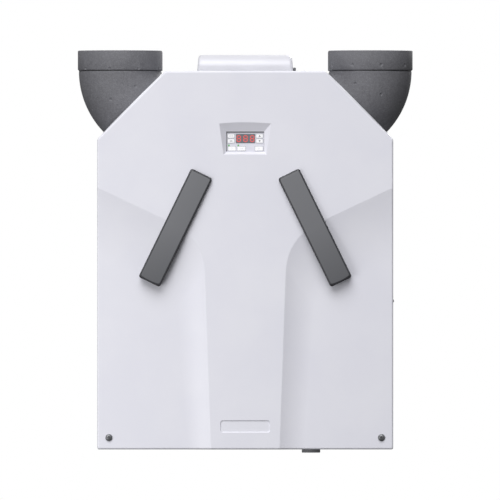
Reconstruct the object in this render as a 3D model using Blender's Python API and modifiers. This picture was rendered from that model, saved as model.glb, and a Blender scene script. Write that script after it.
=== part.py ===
"""Wall-hung heat recovery ventilation unit, modelled as an assembly of separate pieces.

Metres, +Z up. The front faces -Y and the wall is the plane y = 0. Heights inside this script are measured
from the underside of the front cover; one empty carries the whole unit down so that the world origin is the
centre of the wall rail's back face.
"""

import math

import bmesh
import bpy
from mathutils import Matrix, Vector

# ---------------------------------------------------------------- driving dimensions
GAP = 0.0003                    # assembly gap between pieces that touch
RAIL_HEIGHT = 0.600             # wall rail centre above the cover's underside

COVER_WIDTH = 0.556
COVER_HEIGHT = 0.711
COVER_CHAMFER = 0.128           # leg of the 45 degree top corners
COVER_WALL = 0.003
COVER_FRONT = -0.390
COVER_BACK = -0.3563

CASE_INSET = 0.003              # the casing stands this far inside the cover's outline
CASE_BACK = -0.014
CASE_FRONT = -0.3535
SHEET = 0.0015                  # casing steel

FOAM_INSET = 0.0075
FOAM_BACK = -0.0158
FOAM_SPLIT = -0.055             # the rear foam ends here and the core foam starts
FOAM_FRONT = -0.3497
LID_BACK = -0.3503              # the insulation carried by the cover
LID_FRONT = -0.374

DUCT_BORE = 0.0625              # inner radius of the insulated duct, 125 mm nominal
DUCT_OUTER = 0.0775             # 15 mm foam wall
DUCT_BEND = 0.088               # centreline radius of the 45 degree bend
DUCT_COLLAR = 0.0794
DUCT_COLLAR_HEIGHT = 0.0382
DUCT_SPIGOT = 0.073
DUCT_TAIL = -0.036              # the spigot reaches this far into the casing
DUCT_NECK = (0.0744, 0.0760)    # inner and outer radius of the flange's neck, in which the tail turns
DUCT_NECK_END = -0.0200
DUCT_LAP = 0.071                # lap joint between the bend and its collar
DUCT_LAP_LENGTH = 0.020
DUCT_FLANGE = 0.0803            # ring on the casing under each bend
DUCT_SEAM = 0.0013              # gap that shows between the bend and its collar
DUCT_BEND_CENTRE_X = 0.148      # centre of the bend, at the top corner of the cabinet
DUCT_BEND_CENTRE_Z = 0.7121
DUCT_DEPTHS = {"rear": -0.112, "front": -0.274}

RECESS_DEPTH = 0.012            # how far the lower side fields lie behind the T-shaped field
ARM_FALL = math.tan(math.radians(25.2))     # slope of the T's arms towards the middle
CREST = {"side_z": 0.492, "stem": 0.0645, "lean": 0.035, "radius": 0.103}   # upper edge of the scoop
FOOT = {"side_z": 0.358, "stem": 0.110, "lean": 0.079, "radius": 0.045}     # lower edge of the scoop

DRAWER_TILT = math.radians(26)
DRAWER_X = 0.131
DRAWER_Z = 0.4165
HANDLE_LENGTH = 0.2255
HANDLE_WIDTH = 0.0433
HANDLE_FRONT = -0.402
HANDLE_BACK = -0.3775
HANDLE_CROWN = 0.0035
HANDLE_WALL = 0.003
PLUG_LENGTH = 0.210
PLUG_WIDTH = 0.034
FILTER_LENGTH = 0.200
FILTER_THICK = 0.024
FILTER_BACK = -0.058
FILTER_FRONT = -0.3502
SLOT_CLEARANCE = 0.0006

DISPLAY_HALF_WIDTH = 0.0355     # clear window at the bottom of the funnel
DISPLAY_LOW = 0.5596
DISPLAY_HIGH = 0.5972
DISPLAY_RIM = COVER_FRONT + 0.008
FASCIA_FRONT = DISPLAY_RIM + 0.003
FASCIA_BACK = FASCIA_FRONT + 0.002
KEY_PROUD = 0.0012
KEY_BACK = -0.3745
BOARD_FRONT = FASCIA_FRONT + 0.006
# name: centre x, centre z, width, height
KEYS = {
    "fan_key": (-0.0266, 0.5888, 0.0126, 0.0072),
    "filter_key": (-0.0266, 0.5794, 0.0126, 0.0072),
    "up_key": (0.0271, 0.5888, 0.0126, 0.0072),
    "down_key": (0.0271, 0.5794, 0.0126, 0.0072),
    "timer_key": (-0.0250, 0.5651, 0.0144, 0.0078),
    "bypass_key": (-0.0071, 0.5651, 0.0156, 0.0078),
    "menu_key": (0.0260, 0.5651, 0.0150, 0.0078),
}

CORE_HALF_WIDTH = 0.120         # hexagonal heat exchanger
CORE_TOP = 0.480
CORE_BOTTOM = 0.120
CORE_SHOULDER = 0.120           # height of the slanted faces, which lie at 45 degrees
CORE_BACK = -0.058
CORE_FRONT = -0.345

FAN_X = 0.170
FAN_Z = 0.118
FAN_BACK = -0.056
FAN_FRONT = -0.134
FAN_WALL = 0.0025
FAN_INLET = 0.044
FAN_OUTLET_TOP = 0.214
IMPELLER_RADIUS = 0.066
IMPELLER_BACK = 0.0845          # distances from the wall
IMPELLER_FRONT = 0.1265
BLADES = 7
SHAFT = 0.0038

RISER = (0.194, 0.262)          # air passage from the fan outlet to the rear duct
CHAMBER_BACK = -0.1365
BYPASS_X = -0.1387
BYPASS_Z = 0.300

DRAIN_X = 0.124
DRAIN_Y = -0.260
DRAIN_RADII = (0.0140, 0.0174)
TRAY_FLOOR = 0.0263

SCREW_X = 0.256                 # the two screws that hold the cover
SCREW_Z = 0.0223
SCREW_HOLE = 0.0026

RIM_STEPS = 20                  # facets round a duct
SMALL_STEPS = 16
ROUND = math.radians(30)        # edges flatter than this are shaded smooth


# ---------------------------------------------------------------- scene and materials
for leftover in list(bpy.data.objects):
    bpy.data.objects.remove(leftover)

parts = bpy.data.collections.new("heat_recovery_unit")
cutters = bpy.data.collections.new("cutters")
for collection in (parts, cutters):
    bpy.context.scene.collection.children.link(collection)

datum = bpy.data.objects.new("underside_datum", None)
datum.location.z = -RAIL_HEIGHT
parts.objects.link(datum)


def finish(name, colour, roughness, metallic=0.0):
    made = bpy.data.materials.new(name)
    made.use_nodes = True
    shader = made.node_tree.nodes["Principled BSDF"]
    shader.inputs["Base Color"].default_value = (*colour, 1.0)
    shader.inputs["Roughness"].default_value = roughness
    shader.inputs["Metallic"].default_value = metallic
    made.diffuse_color = (*colour, 1.0)
    return made


COVER_WHITE = finish("moulded cover plastic", (0.74, 0.74, 0.78), 0.45)
SHEET_WHITE = finish("powder coated sheet", (0.78, 0.78, 0.80), 0.5)
ZINC = finish("galvanised steel", (0.55, 0.57, 0.58), 0.4, 0.9)
DUCT_GREY = finish("dark duct foam", (0.16, 0.16, 0.17), 0.85)
CORE_FOAM = finish("insulating foam", (0.10, 0.10, 0.11), 0.9)
HANDLE_GREY = finish("handle plastic", (0.17, 0.17, 0.18), 0.45)
BLACK = finish("black plastic", (0.03, 0.03, 0.03), 0.4)
RUBBER = finish("seal rubber", (0.03, 0.03, 0.03), 0.8)
KEY_WHITE = finish("key plastic", (0.90, 0.90, 0.92), 0.35)
FASCIA = finish("keypad fascia", (0.76, 0.76, 0.82), 0.4)
SMOKED = finish("smoked window", (0.10, 0.11, 0.12), 0.1)
GREEN_LED = finish("green light pipe", (0.15, 0.65, 0.15), 0.3)
BOARD_GREEN = finish("circuit board", (0.05, 0.25, 0.10), 0.5)
CORE_PLASTIC = finish("exchanger plates", (0.85, 0.86, 0.88), 0.4)
FILTER_CARD = finish("filter frame", (0.80, 0.80, 0.78), 0.8)
FILTER_CLOTH = finish("filter fleece", (0.88, 0.90, 0.92), 0.95)
FAN_PLASTIC = finish("fan plastic", (0.06, 0.06, 0.07), 0.5)
MOTOR_METAL = finish("motor casting", (0.60, 0.61, 0.62), 0.35, 0.9)


# ---------------------------------------------------------------- modelling helpers
def add(name, mesh, material=None, parent=datum):
    """A named part, or a cutter when it has no material."""
    thing = bpy.data.objects.new(name, mesh)
    thing.parent = parent
    if material is None:
        thing.hide_render = True
        thing.display_type = "WIRE"
        cutters.objects.link(thing)
    else:
        mesh.materials.clear()
        mesh.materials.append(material)
        mesh.shade_smooth()
        mesh.set_sharp_from_angle(angle=ROUND)
        parts.objects.link(thing)
    return thing


def frame(name, location, tilt=0.0, spin=0.0):
    """An empty that carries pieces which share a tilted axis."""
    empty = bpy.data.objects.new(name, None)
    empty.parent = datum
    empty.location = location
    empty.rotation_euler = (Matrix.Rotation(tilt, 3, "Y") @ Matrix.Rotation(spin, 3, "Z")).to_euler()
    parts.objects.link(empty)
    return empty


def plate(name, outlines, back, front, material=None, parent=datum):
    """Outlines in the XZ plane, the later ones holes, extruded from y = back to y = front."""
    curve = bpy.data.curves.new(name, "CURVE")
    curve.dimensions = "2D"
    curve.fill_mode = "BOTH"
    curve.extrude = abs(back - front) / 2
    for outline in outlines:
        spline = curve.splines.new("POLY")
        spline.points.add(len(outline) - 1)
        for point, (x, z) in zip(spline.points, outline):
            point.co = (x, z, 0, 1)
        spline.use_cyclic_u = True
    thing = add(name + "_outline", curve)
    upright = Matrix.Rotation(math.pi / 2, 4, "X")
    mesh = bpy.data.meshes.new_from_object(thing.evaluated_get(bpy.context.evaluated_depsgraph_get()))
    bpy.data.objects.remove(thing)
    mesh.name = name
    mesh.transform(Matrix.Translation((0, (back + front) / 2, 0)) @ upright)
    weld(mesh)
    return add(name, mesh, material, parent)


def weld(mesh, distance=1e-6):
    body = bmesh.new()
    body.from_mesh(mesh)
    bmesh.ops.remove_doubles(body, verts=body.verts, dist=distance)
    bmesh.ops.recalc_face_normals(body, faces=body.faces)
    body.to_mesh(mesh)
    body.free()


def block(name, low, high, material=None, parent=datum):
    """A box between two corners."""
    body = bmesh.new()
    bmesh.ops.create_cube(body, size=1.0)
    size = Vector(high) - Vector(low)
    bmesh.ops.scale(body, vec=size, verts=body.verts)
    bmesh.ops.translate(body, vec=Vector(low) + size / 2, verts=body.verts)
    mesh = bpy.data.meshes.new(name)
    body.to_mesh(mesh)
    body.free()
    return add(name, mesh, material, parent)


def rod(name, radius, low, high, material=None, parent=datum,
        steps=SMALL_STEPS, axis="Y", centre=(0, 0, 0)):
    """A cylinder along one axis of its parent, from low to high on that axis."""
    body = bmesh.new()
    bmesh.ops.create_cone(
        body, cap_ends=True, segments=steps, radius1=radius, radius2=radius, depth=abs(high - low)
    )
    turn = Matrix.Rotation(math.pi / 2, 4, {"X": "Y", "Y": "X"}[axis]) if axis != "Z" else Matrix()
    shift = Vector(centre)
    shift["XYZ".index(axis)] += (low + high) / 2
    body.transform(Matrix.Translation(shift) @ turn)
    mesh = bpy.data.meshes.new(name)
    body.to_mesh(mesh)
    body.free()
    return add(name, mesh, material, parent)


def turned(name, profile, material=None, parent=datum, steps=RIM_STEPS, closed=True):
    """A profile of (radius, height) points turned about Z; its outer side runs downwards."""
    mesh = bpy.data.meshes.new(name)
    count = len(profile)
    edges = [(i, i + 1) for i in range(count - 1)] + ([(count - 1, 0)] if closed else [])
    mesh.from_pydata([(radius, 0, height) for radius, height in profile], edges, [])
    blank = add(name + "_profile", mesh)
    screw = blank.modifiers.new("turn", "SCREW")
    screw.steps = screw.render_steps = steps
    screw.use_merge_vertices = True
    screw.merge_threshold = 1e-5
    body = bpy.data.meshes.new_from_object(blank.evaluated_get(bpy.context.evaluated_depsgraph_get()))
    bpy.data.objects.remove(blank)
    body.name = name
    return add(name, body, material, parent)


def loft(name, rings, material=None, parent=datum, looped=False):
    """A skin through rings of equally many points, capped at both ends or looped back to the first ring."""
    body = bmesh.new()
    rows = [[body.verts.new(point) for point in ring] for ring in rings]
    pairs = list(zip(rows, rows[1:])) + ([(rows[-1], rows[0])] if looped else [])
    for here, there in pairs:
        for i in range(len(here)):
            body.faces.new((here[i - 1], here[i], there[i], there[i - 1]))
    if not looped:
        body.faces.new(rows[0])
        body.faces.new(rows[-1])
    bmesh.ops.recalc_face_normals(body, faces=body.faces)
    mesh = bpy.data.meshes.new(name)
    body.to_mesh(mesh)
    body.free()
    return add(name, mesh, material, parent)


def combine(thing, other, operation="DIFFERENCE"):
    """A Boolean of thing with one cutter or joined piece."""
    change = thing.modifiers.new(operation.lower(), "BOOLEAN")
    change.operation = operation
    change.object = other
    return thing


def cut(thing, *others):
    for other in others:
        combine(thing, other)
    return thing


def joined_cutter(name, pieces):
    """One cutter made of many closed pieces that don't touch."""
    body = bmesh.new()
    graph = bpy.context.evaluated_depsgraph_get()
    inverse = datum.matrix_world.inverted()
    for piece in pieces:
        mesh = bpy.data.meshes.new_from_object(piece.evaluated_get(graph))
        mesh.transform(inverse @ piece.matrix_world)
        body.from_mesh(mesh)
        bpy.data.meshes.remove(mesh)
        bpy.data.objects.remove(piece)
    mesh = bpy.data.meshes.new(name)
    body.to_mesh(mesh)
    body.free()
    return add(name, mesh)


def bevel(thing, width, segments=2, angle=35):
    change = thing.modifiers.new("bevel", "BEVEL")
    change.width = width
    change.segments = segments
    change.limit_method = "ANGLE"
    change.angle_limit = math.radians(angle)
    return thing


def arc_at(before, corner, after, radius, steps):
    """Points of the arc that rounds a corner between its two neighbours."""
    here = Vector(corner)
    back = (Vector(before) - here).normalized()
    on = (Vector(after) - here).normalized()
    half = back.angle(on) / 2
    centre = here + (back + on).normalized() * radius / math.sin(half)
    start = here + back * radius / math.tan(half) - centre
    end = here + on * radius / math.tan(half) - centre
    sweep = -start.angle_signed(end)
    return [tuple(centre + Matrix.Rotation(sweep * k / steps, 2) @ start) for k in range(steps + 1)]


def rounded(points, radius, steps=3):
    """The same outline with every corner turned into an arc."""
    made = []
    for i, corner in enumerate(points):
        made += arc_at(points[i - 1], corner, points[(i + 1) % len(points)], radius, steps)
    return made


def rectangle(half_width, low, high, x=0.0):
    return [(x - half_width, low), (x + half_width, low), (x + half_width, high), (x - half_width, high)]


def circle(radius, x=0.0, z=0.0, steps=SMALL_STEPS):
    turns = [2 * math.pi * k / steps for k in range(steps)]
    return [(x + radius * math.cos(a), z + radius * math.sin(a)) for a in turns]


def cabinet(inset):
    """The cabinet's six-sided outline, moved inwards by inset."""
    half = COVER_WIDTH / 2 - inset
    top = COVER_HEIGHT - inset
    creep = (math.sqrt(2) - 1) * inset
    shoulder = COVER_WIDTH / 2 - COVER_CHAMFER - creep
    side_top = COVER_HEIGHT - COVER_CHAMFER - creep
    right = [(half, inset), (half, side_top), (shoulder, top)]
    return [(-half, inset), *right, (-shoulder, top), (-half, side_top)]


def mirrored(outline):
    return [(-x, z) for x, z in reversed(outline)]


# ---------------------------------------------------------------- shared frames
SIDES = {"left": -1, "right": 1}
UPHILL = {side: Vector((-sign, 0, 1)).normalized() for side, sign in SIDES.items()}

drawer_frames = {
    side: frame(f"{side}_filter_axis", (sign * DRAWER_X, 0, DRAWER_Z), -sign * DRAWER_TILT)
    for side, sign in SIDES.items()
}
duct_frames = {}
for side, sign in SIDES.items():
    for place, depth in DUCT_DEPTHS.items():
        bend_centre = Vector((sign * DUCT_BEND_CENTRE_X, depth, DUCT_BEND_CENTRE_Z))
        duct_frames[side, place] = frame(
            f"{side}_{place}_duct_axis",
            bend_centre - UPHILL[side] * DUCT_BEND,
            sign * math.pi / 4,
            math.pi if side == "right" else 0.0,
        )
bpy.context.view_layer.update()


# ---------------------------------------------------------------- wall rail and casing
def folded(name, path, low, high, material, thickness=SHEET, parent=datum, axis="Y"):
    """Sheet folded along a path across one axis, run from low to high on that axis.

    The path is in XZ for axis Y, YZ for axis X and XY for axis Z.
    """
    place = {
        "X": lambda u, v, at: (at, u, v),
        "Y": lambda u, v, at: (u, at, v),
        "Z": lambda u, v, at: (u, v, at),
    }[axis]
    body = bmesh.new()
    rows = [[body.verts.new(place(u, v, at)) for u, v in path] for at in (low, high)]
    for i in range(len(path) - 1):
        body.faces.new((rows[0][i], rows[0][i + 1], rows[1][i + 1], rows[1][i]))
    mesh = bpy.data.meshes.new(name)
    body.to_mesh(mesh)
    body.free()
    thing = add(name, mesh, material, parent)
    solid = thing.modifiers.new("sheet", "SOLIDIFY")
    solid.thickness = thickness
    solid.offset = -1.0
    solid.use_even_offset = True
    return thing


def make_wall_rail():
    """A folded rail screwed to the wall, and the hanger that hooks over it from the casing."""
    z = RAIL_HEIGHT
    lip = -0.007
    path = [(0, z - 0.021), (0, z + 0.021), (lip, z + 0.029), (lip, z + 0.045)]
    rail = folded("wall_rail", path, -0.20, 0.20, ZINC, 0.002, axis="X")
    for x in (-0.15, -0.05, 0.05, 0.15):
        hole = rounded([(x - 0.011, z - 0.004), (x + 0.011, z - 0.004),
                        (x + 0.011, z + 0.004), (x - 0.011, z + 0.004)], 0.0039)
        cut(rail, plate("rail_slot", [hole], 0.01, -0.01))
    hook = [(-0.0035, z + 0.034), (-0.0035, z + 0.0468), (-0.0137, z + 0.0468), (-0.0137, z - 0.025)]
    folded("hanger_bracket", hook, -0.17, 0.17, ZINC, axis="X")
    pad = block("wall_buffer", (-0.20, CASE_BACK + GAP, 0.046), (0.20, 0.0, 0.070), RUBBER)
    bevel(pad, 0.003, 2)


def duct_flange(axis):
    """Raised ring round a duct's hole in the casing, with a short neck that guides the duct's tail."""
    inner, outer = DUCT_NECK
    under = -0.0031
    profile = [(DUCT_FLANGE, -GAP), (DUCT_FLANGE, under), (outer, under), (outer, DUCT_NECK_END),
               (inner, DUCT_NECK_END), (inner, -GAP)]
    return turned("duct_flange", profile, parent=axis)


def make_casing():
    plate("back_plate", [cabinet(CASE_INSET + SHEET + GAP)], CASE_BACK, CASE_BACK - SHEET, SHEET_WHITE)
    right_low, right_side, right_top = cabinet(CASE_INSET)[1:4]
    seam = 0.0006
    for side, sign in SIDES.items():
        path = [right_low, right_side, (right_top[0] + seam, right_top[1] - seam)]
        path = path[::-1] if side == "right" else [(-x, z) for x, z in path]
        wall = folded(f"{side}_side_plate", path, CASE_FRONT, CASE_BACK, SHEET_WHITE)
        for place in DUCT_DEPTHS:
            axis = duct_frames[side, place]
            hole = sum(DUCT_NECK) / 2
            cut(wall, rod("duct_hole", hole, -0.012, 0.012, parent=axis, steps=RIM_STEPS, axis="Z"))
            combine(wall, duct_flange(axis), "UNION")

    half_top = right_top[0] - 2 * seam
    edge = [(-half_top, CASE_FRONT), (half_top, CASE_FRONT), (half_top, CASE_BACK), (-half_top, CASE_BACK)]
    roof = plate("top_plate", [edge, rectangle(0.036, -0.325, -0.300)], 0, SHEET, SHEET_WHITE)
    roof.rotation_euler.x = -math.pi / 2
    roof.location.z = right_top[1]

    half_low = COVER_WIDTH / 2 - CASE_INSET - SHEET - GAP
    lip = CASE_INSET + 0.015
    path = [(-half_low, lip), (-half_low, CASE_INSET), (half_low, CASE_INSET), (half_low, lip)]
    floor = folded("bottom_plate", path, CASE_BACK - SHEET - GAP, FOAM_FRONT, SHEET_WHITE)
    cut(floor, rod("drain_hole", 0.0178, -0.01, 0.02, axis="Z", centre=(DRAIN_X, DRAIN_Y, 0)))


# ---------------------------------------------------------------- front cover
def relief_line(side_z, stem, lean, radius, steps=8):
    """An edge of the left scoop: an arm falling from the cover's side, an arc, and the stem to z = 0."""
    half = COVER_WIDTH / 2
    corner_z = (side_z + ARM_FALL * (stem - half)) / (1 - ARM_FALL * lean)
    start = (-half, side_z)
    end = (-stem, 0.0)
    corner = (-stem - lean * corner_z, corner_z)
    return [start, *arc_at(start, corner, end, radius, steps), end]


def cover_surface(rows=4):
    """The left half of the cover's outer skin: T-shaped field, lofted scoop, side field and skirt."""
    body = bmesh.new()
    crest = relief_line(**CREST)
    foot = relief_line(**FOOT)
    grid = []
    for row in range(rows + 1):
        share = row / rows
        y = COVER_FRONT + RECESS_DEPTH * (1 - (1 - share) ** 2)
        grid.append([
            body.verts.new((a[0] + (b[0] - a[0]) * share, y, a[1] + (b[1] - a[1]) * share))
            for a, b in zip(crest, foot)
        ])
    for upper, lower in zip(grid, grid[1:]):
        for i in range(len(upper) - 1):
            body.faces.new((upper[i], upper[i + 1], lower[i + 1], lower[i]))
    left_top, left_side = cabinet(0)[4:]
    raised = [(0, 0), (0, COVER_HEIGHT), left_top, left_side]
    body.faces.new(grid[0] + [body.verts.new((x, COVER_FRONT, z)) for x, z in raised])
    corner = body.verts.new((-COVER_WIDTH / 2, COVER_FRONT + RECESS_DEPTH, 0))
    body.faces.new(grid[-1] + [corner])
    rim = [e for e in body.edges if e.is_boundary and any(abs(v.co.x) > 1e-6 for v in e.verts)]
    skirt = bmesh.ops.extrude_edge_only(body, edges=rim)["geom"]
    for vertex in skirt:
        if isinstance(vertex, bmesh.types.BMVert):
            vertex.co.y = COVER_BACK
    bmesh.ops.recalc_face_normals(body, faces=body.faces)
    body.faces.ensure_lookup_table()
    if body.faces[0].normal.y > 0:
        bmesh.ops.reverse_faces(body, faces=body.faces)
    mesh = bpy.data.meshes.new("front_cover")
    body.to_mesh(mesh)
    body.free()
    return mesh


def display_funnel():
    """Tapered cutter whose wide mouth has an arched top; it ends in the display window."""
    arch_steps = 6
    mouth = [(-0.0405, 0.554), (0.0405, 0.554)]
    window = [(-DISPLAY_HALF_WIDTH, DISPLAY_LOW), (DISPLAY_HALF_WIDTH, DISPLAY_LOW)]
    for k in range(arch_steps + 1):
        across = 1 - 2 * k / arch_steps
        mouth.append((0.0488 * across, 0.6130 + 0.0025 * (1 - across * across)))
        window.append((DISPLAY_HALF_WIDTH * across, DISPLAY_HIGH))
    stages = [(mouth, COVER_FRONT - 0.002), (mouth, COVER_FRONT), (window, DISPLAY_RIM),
              (window, DISPLAY_RIM + 0.004)]
    return loft("display_funnel", [[(x, y, z) for x, z in outline] for outline, y in stages])


def make_cover():
    cover = add("front_cover", cover_surface(), COVER_WHITE)
    halves = cover.modifiers.new("halves", "MIRROR")
    halves.merge_threshold = 1e-5
    bevel(cover, 0.0035)
    wall = cover.modifiers.new("wall", "SOLIDIFY")
    wall.thickness = COVER_WALL
    wall.offset = -1.0
    wall.use_even_offset = True

    boss_low = (-0.0535, COVER_FRONT + 0.0015, 0.549)
    boss_high = (0.0535, DISPLAY_RIM + 0.0025, 0.6205)
    combine(cover, block("display_boss", boss_low, boss_high), "UNION")
    nameplate = rounded(rectangle(0.0456, 0.0332, 0.0537), 0.0035)
    recess = plate("nameplate_recess", [nameplate], COVER_FRONT + 0.001, COVER_FRONT - 0.01)
    cut(cover, display_funnel(), recess)
    half_width = HANDLE_WIDTH / 2 + SLOT_CLEARANCE
    half_length = HANDLE_LENGTH / 2 + SLOT_CLEARANCE
    for side, sign in SIDES.items():
        slot = rounded(rectangle(half_width, -half_length, half_length), 0.0046)
        screw_at = (sign * SCREW_X, 0, SCREW_Z)
        cut(cover, plate("handle_slot", [slot], -0.36, -0.41, parent=drawer_frames[side]))
        cut(cover, rod("screw_hole", SCREW_HOLE, -0.36, -0.40, centre=screw_at, steps=12))


# ---------------------------------------------------------------- insulation
def scroll(shrink, sign):
    """Spiral outline of a fan's housing with its outlet going up, moved inwards by shrink."""
    first = math.radians(78)
    steps = 14
    points = []
    for k in range(steps + 1):
        angle = first + (2 * math.pi - first) * k / steps
        radius = 0.070 + 0.022 * k / steps - shrink
        points.append((FAN_X + radius * math.cos(angle), FAN_Z + radius * math.sin(angle)))
    outlet_x, top, tongue_z = RISER[0] + shrink, FAN_OUTLET_TOP - shrink, FAN_Z + 0.066 - shrink
    points += [(points[-1][0], top), (outlet_x, top), (outlet_x, tongue_z)]
    return points if sign > 0 else mirrored(points)


def hexagon(grow):
    """The heat exchanger's section, grown outwards."""
    corner = grow * (math.sqrt(2) - 1)
    half = CORE_HALF_WIDTH + grow
    top, bottom = CORE_TOP + grow * math.sqrt(2), CORE_BOTTOM - grow * math.sqrt(2)
    high, low = CORE_TOP - CORE_SHOULDER + corner, CORE_BOTTOM + CORE_SHOULDER - corner
    return [(0, bottom), (half, low), (half, high), (0, top), (-half, high), (-half, low)]


def duct_passage(frame_of_duct):
    """Stepped cutter for a duct's socket and the bore below it."""
    tail, neck = DUCT_NECK[0], DUCT_NECK[1] + 0.0004
    ledge, end = DUCT_NECK_END - 0.0006, DUCT_TAIL - 0.0004
    deep = -0.115
    steps = [(0.0, 0.010), (neck, 0.010), (neck, ledge), (tail, ledge), (tail, end),
             (DUCT_BORE, end), (DUCT_BORE, deep), (0.0, deep)]
    return turned("duct_passage", steps, parent=frame_of_duct, closed=False)


def make_foam():
    rear = plate("rear_foam", [cabinet(FOAM_INSET)], FOAM_BACK, FOAM_SPLIT + GAP, CORE_FOAM)
    core = plate("foam_core", [cabinet(FOAM_INSET), hexagon(0.0006)], FOAM_SPLIT, FOAM_FRONT, CORE_FOAM)
    beyond = -0.36
    for side, sign in SIDES.items():
        half_slot = FILTER_THICK / 2 + SLOT_CLEARANCE
        end_slot = FILTER_LENGTH / 2 + SLOT_CLEARANCE
        axis = drawer_frames[side]
        slot = rectangle(half_slot, -end_slot, end_slot)
        outer = [(0.060, -0.085), (0.060, 0.085), (0.010, 0.085), (0.010, -0.085)]
        outer = mirrored(outer) if sign < 0 else outer
        cut(core, plate("filter_slot", [slot], FILTER_BACK + GAP, beyond, parent=axis))
        cut(core, plate("outer_plenum", [outer], -0.146, -0.343, parent=axis))
        inner = [(-0.155, 0.342), (-0.116, 0.366), (-0.010, 0.476), (-0.084, 0.488)]
        inner = inner if sign < 0 else mirrored(inner)
        cut(core, plate("inner_plenum", [inner], CORE_BACK, -0.3435))
        chamber = [(0.011, 0.026), (0.262, 0.026), (0.262, 0.200),
                   (0.128, 0.200), (0.112, 0.236), (0.011, 0.135)]
        chamber = mirrored(chamber) if sign < 0 else chamber
        cut(core, plate("fan_chamber", [chamber], CHAMBER_BACK + 0.001, -0.342))
        cut(core, plate("fan_pocket", [scroll(-SLOT_CLEARANCE, sign)], FOAM_SPLIT + 0.01, CHAMBER_BACK))
        low, high = sorted((sign * RISER[0], sign * RISER[1]))
        cut(core, block("riser", (low, -0.136, 0.208), (high, -0.058, 0.570)))
        for place in DUCT_DEPTHS:
            cut(core, duct_passage(duct_frames[side, place]))
        cut(rear, duct_passage(duct_frames[side, "rear"]))
        screw_at = (sign * SCREW_X, 0, SCREW_Z)
        cut(core, rod("screw_pocket", SCREW_HOLE, FOAM_FRONT + 0.013, beyond, centre=screw_at, steps=12))

    cut(
        core,
        block("bypass_channel", (-0.156, -0.340, 0.190), (-0.1215, -0.145, 0.366)),
        block("servo_pocket", (BYPASS_X - 0.0148, -0.119, BYPASS_Z - 0.021),
              (BYPASS_X + 0.0148, FOAM_SPLIT + 0.01, BYPASS_Z + 0.021)),
        rod("spindle_hole", 0.0038, -0.117, -0.344, centre=(BYPASS_X, 0, BYPASS_Z), steps=12),
        block("control_recess", (-0.0735, beyond, 0.540), (0.0735, -0.2685, 0.6915)),
        block("wiring_way", (-0.034, -0.322, 0.685), (0.034, -0.303, 0.72)),
        rod("drain_way", 0.0180, -0.01, 0.030, axis="Z", centre=(DRAIN_X, DRAIN_Y, 0)),
    )

    display_gap = rectangle(0.052, 0.545, 0.613)
    lid = plate("cover_insulation", [cabinet(0.0045), display_gap], LID_BACK, LID_FRONT, CORE_FOAM)
    for side, sign in SIDES.items():
        half = PLUG_WIDTH / 2 + SLOT_CLEARANCE
        end = PLUG_LENGTH / 2 + SLOT_CLEARANCE
        cut(lid, plate("plug_slot", [rectangle(half, -end, end)], -0.34, -0.38, parent=drawer_frames[side]))
        cut(lid, rod("screw_way", SCREW_HOLE, -0.34, -0.38, centre=(sign * SCREW_X, 0, SCREW_Z), steps=12))


# ---------------------------------------------------------------- heat exchanger
def make_exchanger():
    """Counterflow block: its slanted faces are open by turns to one air stream and to the other."""
    core = plate("exchanger_core", [hexagon(0.0)], CORE_BACK, CORE_FRONT, CORE_PLASTIC)
    pitch, slit, depth = 0.030, 0.012, 0.014
    half_face = CORE_SHOULDER / math.sqrt(2)
    slits = []
    for across in (-1, 1):
        for up in (-1, 1):
            centre_z = (CORE_TOP + CORE_BOTTOM) / 2 + up * (CORE_TOP - CORE_BOTTOM - CORE_SHOULDER) / 2
            start = CORE_BACK - 0.012 - (pitch / 2 if across == up else 0)
            count = int((start - CORE_FRONT - 0.006) / pitch) + 1
            for k in range(count):
                corner = Vector((half_face - 0.006, slit / 2, depth))
                piece = block("slit", -corner, corner)
                piece.location = (across * CORE_HALF_WIDTH / 2, start - k * pitch, centre_z)
                piece.rotation_euler.y = across * up * math.pi / 4
                slits.append(piece)
    cut(core, joined_cutter("slits", slits))


# ---------------------------------------------------------------- filter drawers
def handle_rings():
    """Sections of a handle along its length: round ends, bevelled rim and a face crowned lengthwise."""
    half_width, half_length, corner, rim = HANDLE_WIDTH / 2, HANDLE_LENGTH / 2, 0.004, 0.003
    heights = [corner * math.sin(math.pi / 2 * k / 4) + half_length - corner for k in range(5)]
    middle = [half_length * k / 4 for k in range(-3, 4)]
    stations = [-z for z in reversed(heights)] + middle + heights
    rings = []
    for z in stations:
        over = max(0.0, abs(z) - (half_length - corner))
        half = half_width - corner + math.sqrt(max(corner * corner - over * over, 1e-7))
        face = HANDLE_FRONT + HANDLE_CROWN * (z / half_length) ** 2
        rings.append([(-half, HANDLE_BACK, z), (-half, face + rim, z), (-half + rim, face, z),
                      (half - rim, face, z), (half, face + rim, z), (half, HANDLE_BACK, z)])
    return rings


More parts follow.
